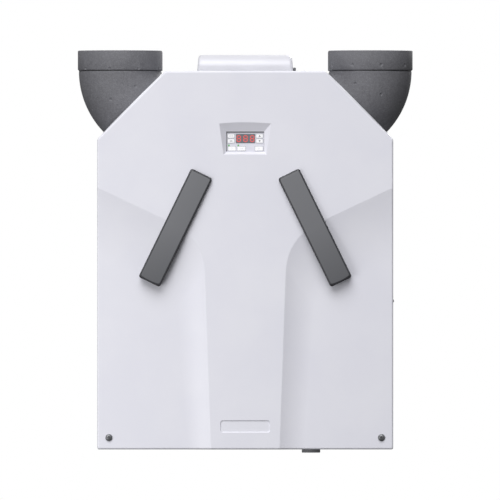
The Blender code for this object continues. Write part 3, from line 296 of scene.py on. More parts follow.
finishes = {
    # ABS cover, spark-eroded mould: even cool white with a soft sheen, grain drawn at 1.1 mm
    "coverAbs": mouldedPlastic("coverAbs", {
        "colours": ("#dcdce5", "#dfdfe7"), "patch": 90, "grain": 1.1, "relief": 0.012,
        "roughness": (0.4, 0.5), "ior": 1.53}),
    # ABS hood, from a smoother mould than the cover's: a little glossier; its colours are darker than the
    # cover's as painted shade, since more light falls on its top
    "hoodShadedAbs": mouldedPlastic("hoodShadedAbs", {
        "colours": ("#d1d1d8", "#d4d4db"), "patch": 70, "grain": 1.4, "relief": 0.01,
        "roughness": (0.3, 0.4), "ior": 1.53}),
    # polyester powder coat on steel: orange peel about 2 mm across
    "powderCoat": mouldedPlastic("powderCoat", {
        "colours": ("#dadce1", "#dee0e4"), "patch": 120, "grain": 2.0, "relief": 0.03,
        "roughness": (0.3, 0.42), "ior": 1.5}),
    # expanded polypropylene duct: charcoal beads steamed together, matt
    "ductFoam": beadFoam("ductBeadFoam", {
        "colours": ("#636368", "#747479"), "bead": 2.6, "cloud": 40, "relief": 0.22}),
    # the same foam inside the unit, blacker and with coarser beads
    "coreFoam": beadFoam("coreBeadFoam", {
        "colours": ("#2c2c2f", "#3c3c40"), "bead": 3.8, "cloud": 40, "relief": 0.4}),
    # glass-filled polyamide: satin black with a slight fibre mottle
    "blackPolyamide": mouldedPlastic("blackPolyamide", {
        "colours": ("#1c1c1e", "#252527"), "patch": 12, "grain": 0.9, "relief": 0.02,
        "roughness": (0.38, 0.5), "ior": 1.53}),
    # ABS handle edge: darker than the face, partly darker plastic and partly painted shade of the turning
    # edge and the gap round it
    "handleRimAndShade": mouldedPlastic("handleRimAbs", {
        "colours": ("#35363a", "#3a3b3f"), "patch": 30, "grain": 0.9, "relief": 0.012,
        "roughness": (0.4, 0.5), "ior": 1.53}),
    # ABS handle face: dark grey, satin; the first colour is painted shade at the lower end
    "handleFace": ribbedHandle({
        "colours": ("#5b5c60", "#6c6d71"), "grain": 0.9, "pitch": 3.7, "relief": 0.02}),
    # extruded EPDM seals: black, dull
    "rubber": mouldedPlastic("epdmRubber", {
        "colours": ("#1a1a1b", "#222223"), "patch": 15, "grain": 1.2, "relief": 0.04,
        "roughness": (0.7, 0.85), "ior": 1.52}),
    # ABS key caps with a soft-touch lacquer: bright white
    "keyWhite": mouldedPlastic("keyCapAbs", {
        "colours": ("#f6f6f9", "#f9f9fb"), "patch": 8, "grain": 0.8, "relief": 0.006,
        "roughness": (0.35, 0.45), "ior": 1.53}),
    # polyester keypad film, printed on its back: light grey, fine texture
    "fascia": mouldedPlastic("keypadPolyester", {
        "colours": ("#d3d3dd", "#d7d7e0"), "patch": 20, "grain": 0.7, "relief": 0.008,
        "roughness": (0.4, 0.5), "ior": 1.57}),
    # face of the LED module, grey-filled epoxy: even and slightly glossy
    "ledFace": mouldedPlastic("ledFaceEpoxy", {
        "colours": ("#6a7076", "#6f757b"), "patch": 15, "grain": 0.8, "relief": 0.005,
        "roughness": (0.25, 0.32), "ior": 1.54}),
    # screen-printed ink of the key marks in three strengths: flat and matt
    **{f"icon{strength}": mouldedPlastic(f"iconInk{strength}", {
        "colours": colours, "patch": 3, "grain": 0.4, "relief": 0.002, "roughness": (0.5, 0.6)})
       for strength, colours in (("Pale", ("#d0d0d6", "#d6d6dc")), ("Grey", ("#8e8e95", "#96969c")),
                                 ("Dark", ("#3c3c41", "#434348")))},
    # hot-dip galvanised rail and bracket
    "galvanised": galvanisedSteel({"colours": ("#a9adb0", "#bec2c4"), "crystal": 9}),
    # black-oxide screw steel: dark, oily sheen
    "blackOxide": mouldedPlastic("blackOxideSteel", {
        "colours": ("#2b2b2e", "#38383b"), "patch": 4, "grain": 0.5, "relief": 0.01,
        "roughness": (0.3, 0.42), "metallic": 0.6}),
    # black-nickel plated screw steel: mid grey with a soft highlight
    "blackNickel": mouldedPlastic("blackNickelSteel", {
        "colours": ("#6c6d70", "#7a7b7e"), "patch": 4, "grain": 0.5, "relief": 0.01,
        "roughness": (0.3, 0.42), "metallic": 0.5}),
    # injection-moulded polypropylene drain stub: waxy mid grey
    "drainGrey": mouldedPlastic("drainPolypropylene", {
        "colours": ("#98999d", "#a0a1a5"), "patch": 12, "grain": 0.9, "relief": 0.01,
        "roughness": (0.45, 0.55), "ior": 1.49}),
    # closed-cell rubber, charcoal-filled: mid grey, dull
    "greyRubber": mouldedPlastic("greyRubber", {
        "colours": ("#68686c", "#6f6f73"), "patch": 6, "grain": 1.0, "relief": 0.03,
        "roughness": (0.65, 0.8), "ior": 1.52}),
    # screws under the same powder coat as the casing
    "coatedScrew": mouldedPlastic("coatedScrew", {
        "colours": ("#c9cbd0", "#d0d2d6"), "patch": 6, "grain": 0.8, "relief": 0.01,
        "roughness": (0.3, 0.4)}),
    # control boards
    "board": circuitBoard(),
    # die-cast aluminium motor can: fine cast skin
    "castAluminium": mouldedPlastic("castAluminium", {
        "colours": ("#a2a5a8", "#b4b7ba"), "patch": 10, "grain": 1.0, "relief": 0.05,
        "roughness": (0.35, 0.5), "metallic": 1.0}),
    # thermoformed polystyrene plates in a stack: pale, glossy edges
    "exchangerPlates": layered("exchangerPolystyrene", {
        "colours": ("#c9d0d6", "#eef2f5"), "grain": 2.0, "pitch": 15.08, "wander": 0.0, "across": "Y",
        "relief": 0.25, "ior": 1.59, "roughness": 0.35}),
    # spun polyester filter fleece in folds: white, fuzzy
    "filterFleece": layered("filterFleece", {
        "colours": ("#d6dbe0", "#f6f8fa"), "grain": 1.0, "pitch": 10.05, "wander": 6.0, "across": "Z",
        "relief": 0.3, "ior": 1.5, "roughness": 0.95}),
    # cardboard filter frame: warm off-white with faint fibres
    "filterCard": layered("filterCard", {
        "colours": ("#cfcabd", "#e6e2d7"), "grain": 0.8, "pitch": 18.85, "wander": 3.0, "across": "Z",
        "relief": 0.08, "ior": 1.5, "roughness": 0.85}),
    # red digits and green status lights
    "ledRed": litEpoxy("ledRedEpoxy", "#c85552", "#dc6561", 0.2),
    "ledGreen": litEpoxy("ledGreenEpoxy", "#55ab4e", "#6cc95e", 0.15),
}
print("finishes made:", len(finishes))


# modelling helpers
# object from a bmesh body, in the scene
def linkObject(name, body, *materials):
    mesh = bpy.data.meshes.new(name)
    body.to_mesh(mesh)
    body.free()
    for material in materials:
        mesh.materials.append(material)
    thing = bpy.data.objects.new(name, mesh)
    bpy.context.scene.collection.objects.link(thing)
    return thing


# smooth shading, with edges sharper than this angle kept
def smooth(thing, degrees):
    thing.data.shade_smooth()
    thing.data.set_sharp_from_angle(angle=math.radians(degrees))
    return thing


def applyAll(thing):
    graph = bpy.context.evaluated_depsgraph_get()
    made = bpy.data.meshes.new_from_object(thing.evaluated_get(graph))
    thing.modifiers.clear()
    thing.data = made
    return thing


# cut away, or join, and drop the cutters
def carve(thing, cutters, operation="DIFFERENCE"):
    for cutter in cutters:
        change = thing.modifiers.new("carve", "BOOLEAN")
        change.operation = operation
        change.object = cutter
    applyAll(thing)
    for cutter in cutters:
        bpy.data.objects.remove(cutter)
    return thing


# skin through rings of equally many points, closed round each ring; looped joins the last ring to the first
def skin(name, rings, looped=False):
    body = bmesh.new()
    rows = [[body.verts.new(point) for point in ring] for ring in rings]
    for here, there in list(zip(rows, rows[1:])) + ([(rows[-1], rows[0])] if looped else []):
        for i in range(len(here)):
            body.faces.new((here[i - 1], here[i], there[i], there[i - 1]))
    if not looped:
        body.faces.new(rows[0])
        body.faces.new(rows[-1])
    bmesh.ops.recalc_face_normals(body, faces=body.faces)
    return linkObject(name, body)


# plate between two depths, its outline in x and z
def slab(name, outline, back, front, place=Matrix()):
    return skin(name, [[place @ Vector((x, y, z)) for x, z in outline] for y in (back, front)])


# profile of radius and height turned round the local Z
def lathe(name, profile, place, steps=32, looped=False):
    turns = [2 * math.pi * k / steps for k in range(steps)]
    return skin(name, [
        [place @ Vector((radius * math.cos(a), radius * math.sin(a), height)) for a in turns]
        for radius, height in profile], looped)


# points of the arc that rounds a corner
def arcPoints(before, corner, after, radius, steps):
    here = Vector(corner)
    back = (Vector(before) - here).normalized()
    on = (Vector(after) - here).normalized()
    half = back.angle(on) / 2
    centre = here + (back + on).normalized() * radius / math.sin(half)
    start = here + back * radius / math.tan(half) - centre
    end = here + on * radius / math.tan(half) - centre
    sweep = -start.angle_signed(end)
    return [tuple(centre + Matrix.Rotation(sweep * k / steps, 2) @ start) for k in range(steps + 1)]


def roundedBox(halfWidth, low, high, radius, x=0.0, steps=8):
    corners = [(x - halfWidth, low), (x + halfWidth, low), (x + halfWidth, high), (x - halfWidth, high)]
    made = []
    for i, corner in enumerate(corners):
        made += arcPoints(corners[i - 1], corner, corners[(i + 1) % 4], radius, steps)
    return made


# body that the piece rides on, its material slot (not used), and the imported pieces it stands in for
def settle(thing, body, slot, *nodes):
    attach(thing, body)
    if nodes:
        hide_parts(*nodes)
    return thing


# front cover
coverShape = {
    "chamfer": 0.128, "recess": 0.012, "wall": 0.003,
    "fall": 25.2,                             # degrees by which the arms fall towards the middle
    "rimRounding": 0.0035, "crestRounding": 0.0009, "softEdge": 0.0005,
    "arcSteps": 48, "scoopRows": 20, "rimSteps": 6, "smoothBelow": 18,
    "crest": (0.492, 0.0645, 0.035, 0.103),   # height at the side, stem at the bottom, lean, arc radius
    "foot": (0.358, 0.110, 0.079, 0.045),
    "handle": (0.131, 0.4165, 26),            # centre and tilt of the handle slots
    "slotHalf": (0.02225, 0.11335), "slotRounding": 0.0046,
    "cut": (-0.36, -0.41),                    # back and front of what cuts through the cover
    "screw": (0.256, 0.0223), "screwHole": 0.0026,
    "plate": (0.0456, 0.0332, 0.0537), "plateRounding": 0.0035,
    "plateWall": [(0.0, 0.0016), (0.0, 0.0012), (0.0013, 0.0), (0.0013, -0.01)],   # how far out, how deep
    "boss": (0.0535, 0.549, 0.6205, 0.002), "bossDepth": (0.0105, 0.0015),
}
funnelShape = {
    "mouth": (0.0405, 0.554, 0.0488, 0.6122),   # half width and height at the foot, then at the top
    "arch": 0.0024, "archSteps": 16,
    "window": (0.0355, 0.5596, 0.5972),         # half width, foot and top
    "depth": 0.008, "overcut": (0.002, 0.004),
}
coverLow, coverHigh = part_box("front_cover")
base = coverLow.z


# edge of the left scoop: an arm that falls from the cover's side, an arc and the stem
def reliefLine(half, sideZ, stem, lean, radius):
    fall = math.tan(math.radians(coverShape["fall"]))
    cornerZ = (sideZ + fall * (stem - half)) / (1 - fall * lean)
    start, end = (-half, sideZ), (-stem, 0.0)
    corner = (-stem - lean * cornerZ, cornerZ)
    run = Vector(corner) - Vector(start)
    arm = [tuple(Vector(start) + run * share) for share in (0.0, 0.2, 0.4)]
    return arm + arcPoints(start, corner, end, radius, coverShape["arcSteps"]) + [end]


# left half of the cover's outer skin; edge weights say how far each edge is rounded later
def coverSkin():
    half, height = coverHigh.x, coverHigh.z - coverLow.z
    body = bmesh.new()
    weight = body.edges.layers.float.new("bevel_weight_edge")
    crest = reliefLine(half, *coverShape["crest"])
    foot = reliefLine(half, *coverShape["foot"])
    grid = []
    for row in range(coverShape["scoopRows"] + 1):
        share = row / coverShape["scoopRows"]
        y = coverLow.y + coverShape["recess"] * (1 - (1 - share) ** 2)
        grid.append([
            body.verts.new((a[0] + (b[0] - a[0]) * share, y, base + a[1] + (b[1] - a[1]) * share))
            for a, b in zip(crest, foot)])
    for upper, lower in zip(grid, grid[1:]):
        for i in range(len(upper) - 1):
            body.faces.new((upper[i], upper[i + 1], lower[i + 1], lower[i]))
    shoulder = half - coverShape["chamfer"]
    field = [(0, 0), (0, height), (-shoulder, height), (-half, height - coverShape["chamfer"])]
    body.faces.new(grid[0] + [body.verts.new((x, coverLow.y, base + z)) for x, z in field])
    corner = body.verts.new((-half, coverLow.y + coverShape["recess"], base))
    body.faces.new(grid[-1] + [corner])
    for edge in body.edges:
        if all(v in grid[0] for v in edge.verts):
            edge[weight] = coverShape["crestRounding"] / coverShape["rimRounding"]
    rim = [e for e in body.edges if e.is_boundary and any(abs(v.co.x) > 1e-6 for v in e.verts)]
    for edge in rim:
        edge[weight] = 1.0
    skirt = bmesh.ops.extrude_edge_only(body, edges=rim)["geom"]
    for part in skirt:
        if isinstance(part, bmesh.types.BMVert):
            part.co.y = coverHigh.y
        elif isinstance(part, bmesh.types.BMEdge):
            part[weight] = 0.0
    wallLimit = 0.003      # an edge deeper than the recess by this much belongs to the side wall
    corners = ((half, 0), (half, height - coverShape["chamfer"]), (shoulder, height))
    for edge in body.edges:
        start, end = (vertex.co for vertex in edge.verts)
        if abs(start.y - end.y) > coverShape["recess"] + wallLimit and abs(start.x) > 1e-4:
            if any(math.hypot(-start.x - x, start.z - base - z) < 1e-5 for x, z in corners):
                edge[weight] = 1.0
    bmesh.ops.recalc_face_normals(body, faces=body.faces)
    body.faces.ensure_lookup_table()
    if body.faces[0].normal.y > 0:
        bmesh.ops.reverse_faces(body, faces=body.faces)
    return linkObject("coverShell", body, finishes["coverAbs"])


# tapered cutter whose wide mouth has an arched top; it ends in the display window
def displayFunnel():
    footHalf, foot, topHalf, top = funnelShape["mouth"]
    half, low, high = funnelShape["window"]
    mouth = [(-footHalf, foot), (footHalf, foot)]
    window = [(-half, low), (half, low)]
    for k in range(funnelShape["archSteps"] + 1):
        across = 1 - 2 * k / funnelShape["archSteps"]
        mouth.append((topHalf * across, top + funnelShape["arch"] * (1 - across * across)))
        window.append((half * across, high))
    front, back = coverLow.y, coverLow.y + funnelShape["depth"]
    before, behind = funnelShape["overcut"]
    levels = [(mouth, front - before), (mouth, front), (window, back), (window, back + behind)]
    return skin("displayFunnel", [[(x, y, base + z) for x, z in outline] for outline, y in levels])


def makeCover():
    cover = coverSkin()
    halves = cover.modifiers.new("halves", "MIRROR")
    halves.merge_threshold = 1e-5
    edge = cover.modifiers.new("edges", "BEVEL")
    edge.width, edge.segments, edge.limit_method = coverShape["rimRounding"], coverShape["rimSteps"], "WEIGHT"
    wall = cover.modifiers.new("wall", "SOLIDIFY")
    wall.thickness, wall.offset, wall.use_even_offset = coverShape["wall"], -1.0, True
    applyAll(cover)

    front = coverLow.y
    half, low, high, rounding = coverShape["boss"]
    bossBack, bossFront = coverShape["bossDepth"]
    boss = slab("displayBoss", roundedBox(half, base + low, base + high, rounding),
                front + bossBack, front + bossFront)
    carve(cover, [boss], "UNION")

    half, low, high = coverShape["plate"]
    cutters = [displayFunnel(), skin("nameplate", [
        [(x, front + deep, z) for x, z in roundedBox(
            half + wider, base + low - wider, base + high + wider, coverShape["plateRounding"] + wider)]
        for wider, deep in coverShape["plateWall"]])]
    x, z, tilt = coverShape["handle"]
    screwX, screwZ = coverShape["screw"]
    halfWidth, halfLength = coverShape["slotHalf"]
    back, through = coverShape["cut"]
    slot = roundedBox(halfWidth, -halfLength, halfLength, coverShape["slotRounding"])
    for sign in (-1, 1):
        lean = Matrix.Rotation(math.radians(-sign * tilt), 4, "Y")
        cutters.append(slab("slot", slot, back, through, Matrix.Translation((sign * x, 0, base + z)) @ lean))
        hole = Matrix.Translation((sign * screwX, back, base + screwZ)) @ Matrix.Rotation(math.pi / 2, 4, "X")
        cutters.append(lathe("hole", [(coverShape["screwHole"], 0), (coverShape["screwHole"], 0.04)], hole))
    carve(cover, cutters)

    soft = cover.modifiers.new("softEdges", "BEVEL")
    soft.width, soft.segments = coverShape["softEdge"], 2
    soft.limit_method, soft.angle_limit = "ANGLE", math.radians(60)
    applyAll(cover)
    smooth(cover, coverShape["smoothBelow"])
    even = cover.modifiers.new("evenShade", "WEIGHTED_NORMAL")
    even.keep_sharp = True
    settle(cover, "cabinet", "cover_plastic", "front_cover")


# duct bends and collars
ductShape = {
    "centreX": 0.148,      # of the bend's curve, either side of the middle
    "bore": 0.0625, "outer": 0.0775, "bend": 0.088, "spigot": 0.073, "tail": -0.036, "tailTip": 0.0722,
    "lap": 0.071, "lapLength": 0.020, "seam": 0.0013, "clearance": 0.0003,
    "rounding": 0.0012, "softening": 0.0004,      # of the outer edges, in two steps
    "around": 72, "along": 20,
    "lip": [(0.0779, -0.0002), (0.0803, -0.0002), (0.0803, 0.0018), (0.0799, 0.0023), (0.0784, 0.0023),
            (0.0779, 0.0018)],
    "markRadius": 0.0050, "markLift": 0.0036, "markStep": 40,
}
# steam marks: row's height on the collar, row's angle on the bend, first mark's angle on bend and collar
markPlaces = {"left": (0.0038, 27.2, 23.3, 14.0), "right": (0.0108, 22.6, 21.6, 14.3)}


# ring of points round the duct's axis; along is the way from the foot of the bend
def ductRing(sign, depth, centreZ, along, radius):
    bend = ductShape["bend"]
    length = bend * math.pi / 4
    turn = math.pi / 4 - min(max(along, 0.0), length) / bend
    straight = min(along, 0.0) + max(along - length, 0.0)
    outward = Vector((sign * math.cos(turn), 0, -math.sin(turn)))
    upward = Vector((sign * math.sin(turn), 0, math.cos(turn)))
    centre = Vector((sign * ductShape["centreX"], depth, centreZ)) + outward * bend + upward * straight
    angles = [2 * math.pi * k / ductShape["around"] for k in range(ductShape["around"])]
    return [centre + outward * radius * math.cos(a) + Vector((0, radius * math.sin(a), 0)) for a in angles]


# shallow dimples that the mould's steam vents leave, in a row round the duct
def steamMarks(ring, radius, first):
    body = bmesh.new()
    middle = sum(ring, Vector()) / len(ring)
    outward = (ring[0] - middle).normalized()
    for k in range(360 // ductShape["markStep"]):
        angle = math.radians(first + k * ductShape["markStep"])
        direction = outward * math.sin(angle) - Vector((0, math.cos(angle), 0))
        ball = bmesh.ops.create_icosphere(body, subdivisions=3, radius=ductShape["markRadius"])
        reach = radius + ductShape["markLift"]
        bmesh.ops.translate(body, vec=middle + direction * reach, verts=ball["verts"])
    return linkObject("steamMarks", body)


def makeDuct(side, place):
    sign = -1 if side == "left" else 1
    low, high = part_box(f"{side}_{place}_collar")
    depth = (low.y + high.y) / 2
    centreZ = low.z - ductShape["seam"]
    name = f"{side}{place.title()}"
    body = f"{side}_front_duct" if place == "front" else "cabinet"
    collarRow, bendAngle, bendFirst, collarFirst = markPlaces[side]

    bend, outer, lap, bore, tail, spigot, rounding, softening = (ductShape[k] for k in (
        "bend", "outer", "lap", "bore", "tail", "spigot", "rounding", "softening"))
    bendLength = bend * math.pi / 4
    lapEnd = bendLength + ductShape["lapLength"]
    steps = [bendLength * k / ductShape["along"] for k in range(1, ductShape["along"])]
    stations = [(tail, ductShape["tailTip"]), (tail + 0.001, spigot), (0.0, spigot), (0.0, outer - rounding),
                (softening, outer - softening), (rounding, outer)]
    stations += [(at, outer) for at in steps if 0.002 < at < bendLength - 0.002]
    stations += [(bendLength - rounding, outer), (bendLength - softening, outer - softening),
                 (bendLength, outer - rounding), (bendLength, lap), (lapEnd - 0.001, lap),
                 (lapEnd, lap - 0.001), (lapEnd, bore)]
    stations += [(at, bore) for at in [bendLength] + steps[::-1] + [0.0]] + [(tail, bore)]
    elbow = skin(f"{name}Bend", [ductRing(sign, depth, centreZ, *s) for s in stations], True)
    elbow.data.materials.append(finishes["ductFoam"])
    alongMark = (math.pi / 4 - math.radians(bendAngle)) * bend
    carve(elbow, [steamMarks(ductRing(sign, depth, centreZ, alongMark, outer), outer, bendFirst)])
    settle(smooth(elbow, 35), body, "duct_foam", f"{side}_{place}_elbow")

    # lip of the casing's flange round the foot of the bend
    centre = Vector((sign * ductShape["centreX"], depth, centreZ))
    foot = centre + Vector((sign, 0, -1)).normalized() * bend
    lean = Matrix.Translation(foot) @ Matrix.Rotation(sign * math.pi / 4, 4, "Y")
    lip = lathe(f"{name}FlangeLip", ductShape["lip"], lean, ductShape["around"], True)
    lip.data.materials.append(finishes["powderCoat"])
    settle(smooth(lip, 50), "cabinet", "casing_sheet")

    radius = (high.x - low.x) / 2
    top, foot = high.z - centreZ, low.z - centreZ
    step, inner = ductShape["lapLength"] + ductShape["clearance"], lap + ductShape["clearance"]
    profile = [(radius - 0.0018, top), (radius - 0.0006, top - 0.0004), (radius, top - 0.0016),
               (radius, foot + 0.0014), (radius - 0.0005, foot + 0.0003), (radius - 0.0014, foot),
               (inner, foot), (inner, step), (bore, step), (bore, top - 0.002),
               (bore + 0.0006, top - 0.0006), (bore + 0.002, top)]
    axis = Matrix.Translation(((low.x + high.x) / 2, depth, centreZ))
    collar = lathe(f"{name}Collar", profile, axis, ductShape["around"], True)
    collar.data.materials.append(finishes["ductFoam"])
    row = ductRing(sign, depth, centreZ, bendLength + collarRow, radius)
    carve(collar, [steamMarks(row, radius, collarFirst)])
    settle(smooth(collar, 35), body, "duct_foam", f"{side}_{place}_collar")


# filter handles
handleShape = {
    "half": (0.02165, 0.11275), "corner": 0.004, "crown": 0.0035,
    "bulge": 0.0018,                              # by which the lower end curves outward
    "edgeRadius": 3.2, "edgeSteps": 10,           # mm
    # painted shade: the dark rim stands partly for shade on the turning edge and in the gap round the handle
    "rimAndShadeSteps": 9,                               # the lower part of the round edge is the dark rim
    "endSteps": 8, "sideSteps": 24,
}


# right half of a handle's outline from the middle of its lower end to the middle of its upper end
def handleOutline(inset):
    halfWidth, halfLength = (size - inset for size in handleShape["half"])
    radius = max(handleShape["corner"] - inset * 0.6, 0.0012)
    lift, ends, sides = handleShape["bulge"], handleShape["endSteps"], handleShape["sideSteps"]
    turns = [math.pi / 2 * k / ends for k in range(ends + 1)]
    points = []
    for k in range(ends + 1):
        across = (halfWidth - radius) * k / ends
        points.append((across, -halfLength + lift * (across / halfWidth) ** 2))
    for turn in turns[1:]:
        points.append((halfWidth - radius + radius * math.sin(turn),
                       -halfLength + lift + radius * (1 - math.cos(turn))))
    for k in range(1, sides):
        points.append((halfWidth, (-halfLength + lift + radius) * (1 - k / sides)
                       + (halfLength - radius) * k / sides))
    for turn in turns:
        points.append((halfWidth - radius + radius * math.cos(turn),
                       halfLength - radius + radius * math.sin(turn)))
    points += [((halfWidth - radius) * (1 - k / ends), halfLength) for k in range(1, ends + 1)]
    return points


def makeHandle(side):
    sign = -1 if side == "left" else 1
    low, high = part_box(f"{side}_filter_handle")
    x, z, tilt = coverShape["handle"]
    place = Matrix.Translation((sign * x, 0, base + z)) @ Matrix.Rotation(math.radians(-sign * tilt), 4, "Y")
    body = bmesh.new()

    def ringOf(inset, drop):
        ring = []
        outline = handleOutline(inset)
        for px, pz in outline + [(-px, pz) for px, pz in outline[-2:0:-1]]:
            face = low.y + handleShape["crown"] * (pz / handleShape["half"][1]) ** 2
            ring.append(body.verts.new((px, high.y if drop is None else face + drop, pz)))
        return ring

    rings = [ringOf(0.0, None)]
    radius = handleShape["edgeRadius"] * mm
    for k in range(handleShape["edgeSteps"] + 1):
        turn = math.pi / 2 * k / handleShape["edgeSteps"]
        rings.append(ringOf(radius * (1 - math.cos(turn)), radius * (1 - math.sin(turn))))
    # the outer steps of the round edge take the dark rim finish, which is partly painted shade
    for k, (here, there) in enumerate(zip(rings, rings[1:])):
        for i in range(len(here)):
            wall = body.faces.new((here[i - 1], here[i], there[i], there[i - 1]))
            wall.material_index = 0 if k <= handleShape["rimAndShadeSteps"] else 1
    # the face and the back are closed with strips from side to side
    count = len(handleOutline(0.0))
    for ring, index in ((rings[-1], 1), (rings[0], 0)):
        whole = len(ring)
        for k in range(1, count - 2):
            quad = [ring[k], ring[k + 1], ring[whole - k - 1], ring[whole - k]]
            body.faces.new(quad).material_index = index
        body.faces.new((ring[0], ring[1], ring[-1])).material_index = index
        body.faces.new((ring[count - 1], ring[count], ring[count - 2])).material_index = index
    bmesh.ops.recalc_face_normals(body, faces=body.faces)
    handle = linkObject(f"{side}Handle", body, finishes["handleRimAndShade"], finishes["handleFace"])
    handle.matrix_world = place
    settle(smooth(handle, 50), f"{side}_drawer", "handle_plastic", f"{side}_filter_handle")


# terminal hood on the roof
hoodShape = {
    "draft": 5.0, "brow": 0.022, "browSteps": 16, "rounding": 0.0062, "roundingSteps": 6, "wall": 0.0022,
    "cableHole": 0.0028, "cableX": 0.08,
}


def makeHood():
    low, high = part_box("terminal_cover")
    draft = math.tan(math.radians(hoodShape["draft"])) * (high.z - low.z)
    body = bmesh.new()
    bmesh.ops.create_cube(body, size=1.0)
    for corner in body.verts:
        inset = draft if corner.co.z > 0 else 0.0
        corner.co.x = (high.x - inset) * (1 if corner.co.x > 0 else -1)
        corner.co.y = low.y + inset if corner.co.y < 0 else high.y - inset
        corner.co.z = high.z if corner.co.z > 0 else low.z
    bmesh.ops.delete(body, geom=[f for f in body.faces if f.normal.z < -0.9], context="FACES_ONLY")
    middle = (low + high) / 2
    brow = [e for e in body.edges if all(v.co.z > middle.z and v.co.y < middle.y for v in e.verts)]
    bmesh.ops.bevel(body, geom=brow, offset=hoodShape["brow"], segments=hoodShape["browSteps"],
                    profile=0.5, affect="EDGES")
    bmesh.ops.recalc_face_normals(body, faces=body.faces)
    # painted shade: the hood takes a darker copy of the cover's white plastic
    hood = linkObject("terminalHood", body, finishes["hoodShadedAbs"])
    edge = hood.modifiers.new("edges", "BEVEL")
    edge.width, edge.segments = hoodShape["rounding"], hoodShape["roundingSteps"]
    edge.limit_method, edge.angle_limit = "ANGLE", math.radians(40)
    wall = hood.modifiers.new("wall", "SOLIDIFY")
    wall.thickness, wall.offset, wall.use_even_offset = hoodShape["wall"], -1.0, True
    applyAll(hood)
    grommetLow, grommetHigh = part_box("cable_grommet")
    centre = (grommetLow + grommetHigh) / 2
    hole, start = hoodShape["cableHole"], (hoodShape["cableX"], centre.y, centre.z)
    turn = Matrix.Translation(start) @ Matrix.Rotation(math.pi / 2, 4, "Y")
    carve(hood, [lathe("grommetHole", [(hole, 0), (hole, 0.02)], turn)])
    settle(smooth(hood, 35), "cabinet", "cover_plastic", "terminal_cover")


# display digits and key symbols
displayShape = {
    "pitch": 0.0127, "height": 0.0130, "width": 0.0083, "bar": 0.0019, "gap": 0.00018, "proud": 0.00012,
    # painted shadow: dark strips inside the display window, widest at the top and on the left
    "paintedShadowWidths": {"top": 0.0017, "left": 0.0012, "right": 0.0004},      # how much of it shows
    "paintedShadowProud": 0.0011, "paintedShadowThick": 0.0010, "paintedShadowGap": 0.0001,
}
iconTones = {"up": "iconDark", "down": "iconDark", "fan": "iconGrey", "filter": "iconGrey"}


# thin plates on a front face, from outlines in x and z
def inlay(name, outlines, front, thick, material, body, slot):
    plates = bmesh.new()
    for outline in outlines:
        rows = [[plates.verts.new((x, y, z)) for x, z in outline] for y in (front + thick, front)]
        for i in range(len(outline)):
            plates.faces.new((rows[0][i - 1], rows[0][i], rows[1][i], rows[1][i - 1]))
        plates.faces.new(rows[0])
        plates.faces.new(rows[1])
    bmesh.ops.recalc_face_normals(plates, faces=plates.faces)
    return settle(linkObject(name, plates, material), body, slot)


# the seven bars of a digit, all lit
def digitSegments(centreX, centreZ):
    thick, gap = displayShape["bar"], displayShape["gap"]
    right, top = displayShape["width"] / 2, displayShape["height"] / 2
    outlines = []

    def bevelBar(ax, az, bx, bz):
        along = (Vector((bx, bz)) - Vector((ax, az))).normalized()
        across = Vector((-along.y, along.x)) * thick / 2
        a, b = Vector((ax, az)) + along * gap, Vector((bx, bz)) - along * gap
        inner = along * thick / 2
        outlines.append([tuple(p) for p in (a, a + inner + across, b - inner + across, b,
                                            b - inner - across, a + inner - across)])

    x, z = right - thick / 2, top - thick / 2
    for height in (-z, 0.0, z):
        bevelBar(-x, height, x, height)
    for side in (-x, x):
        bevelBar(side, -z, side, 0.0)
        bevelBar(side, 0.0, side, z)
    return [[(centreX + px, centreZ + pz) for px, pz in outline] for outline in outlines]


def disc(x, z, radius, steps=14):
    turns = [2 * math.pi * k / steps for k in range(steps)]
    return [(x + radius * math.cos(a), z + radius * math.sin(a)) for a in turns]


def bar(x, z, halfWidth, halfHeight):
    return [(x - halfWidth, z - halfHeight), (x + halfWidth, z - halfHeight),
            (x + halfWidth, z + halfHeight), (x - halfWidth, z + halfHeight)]


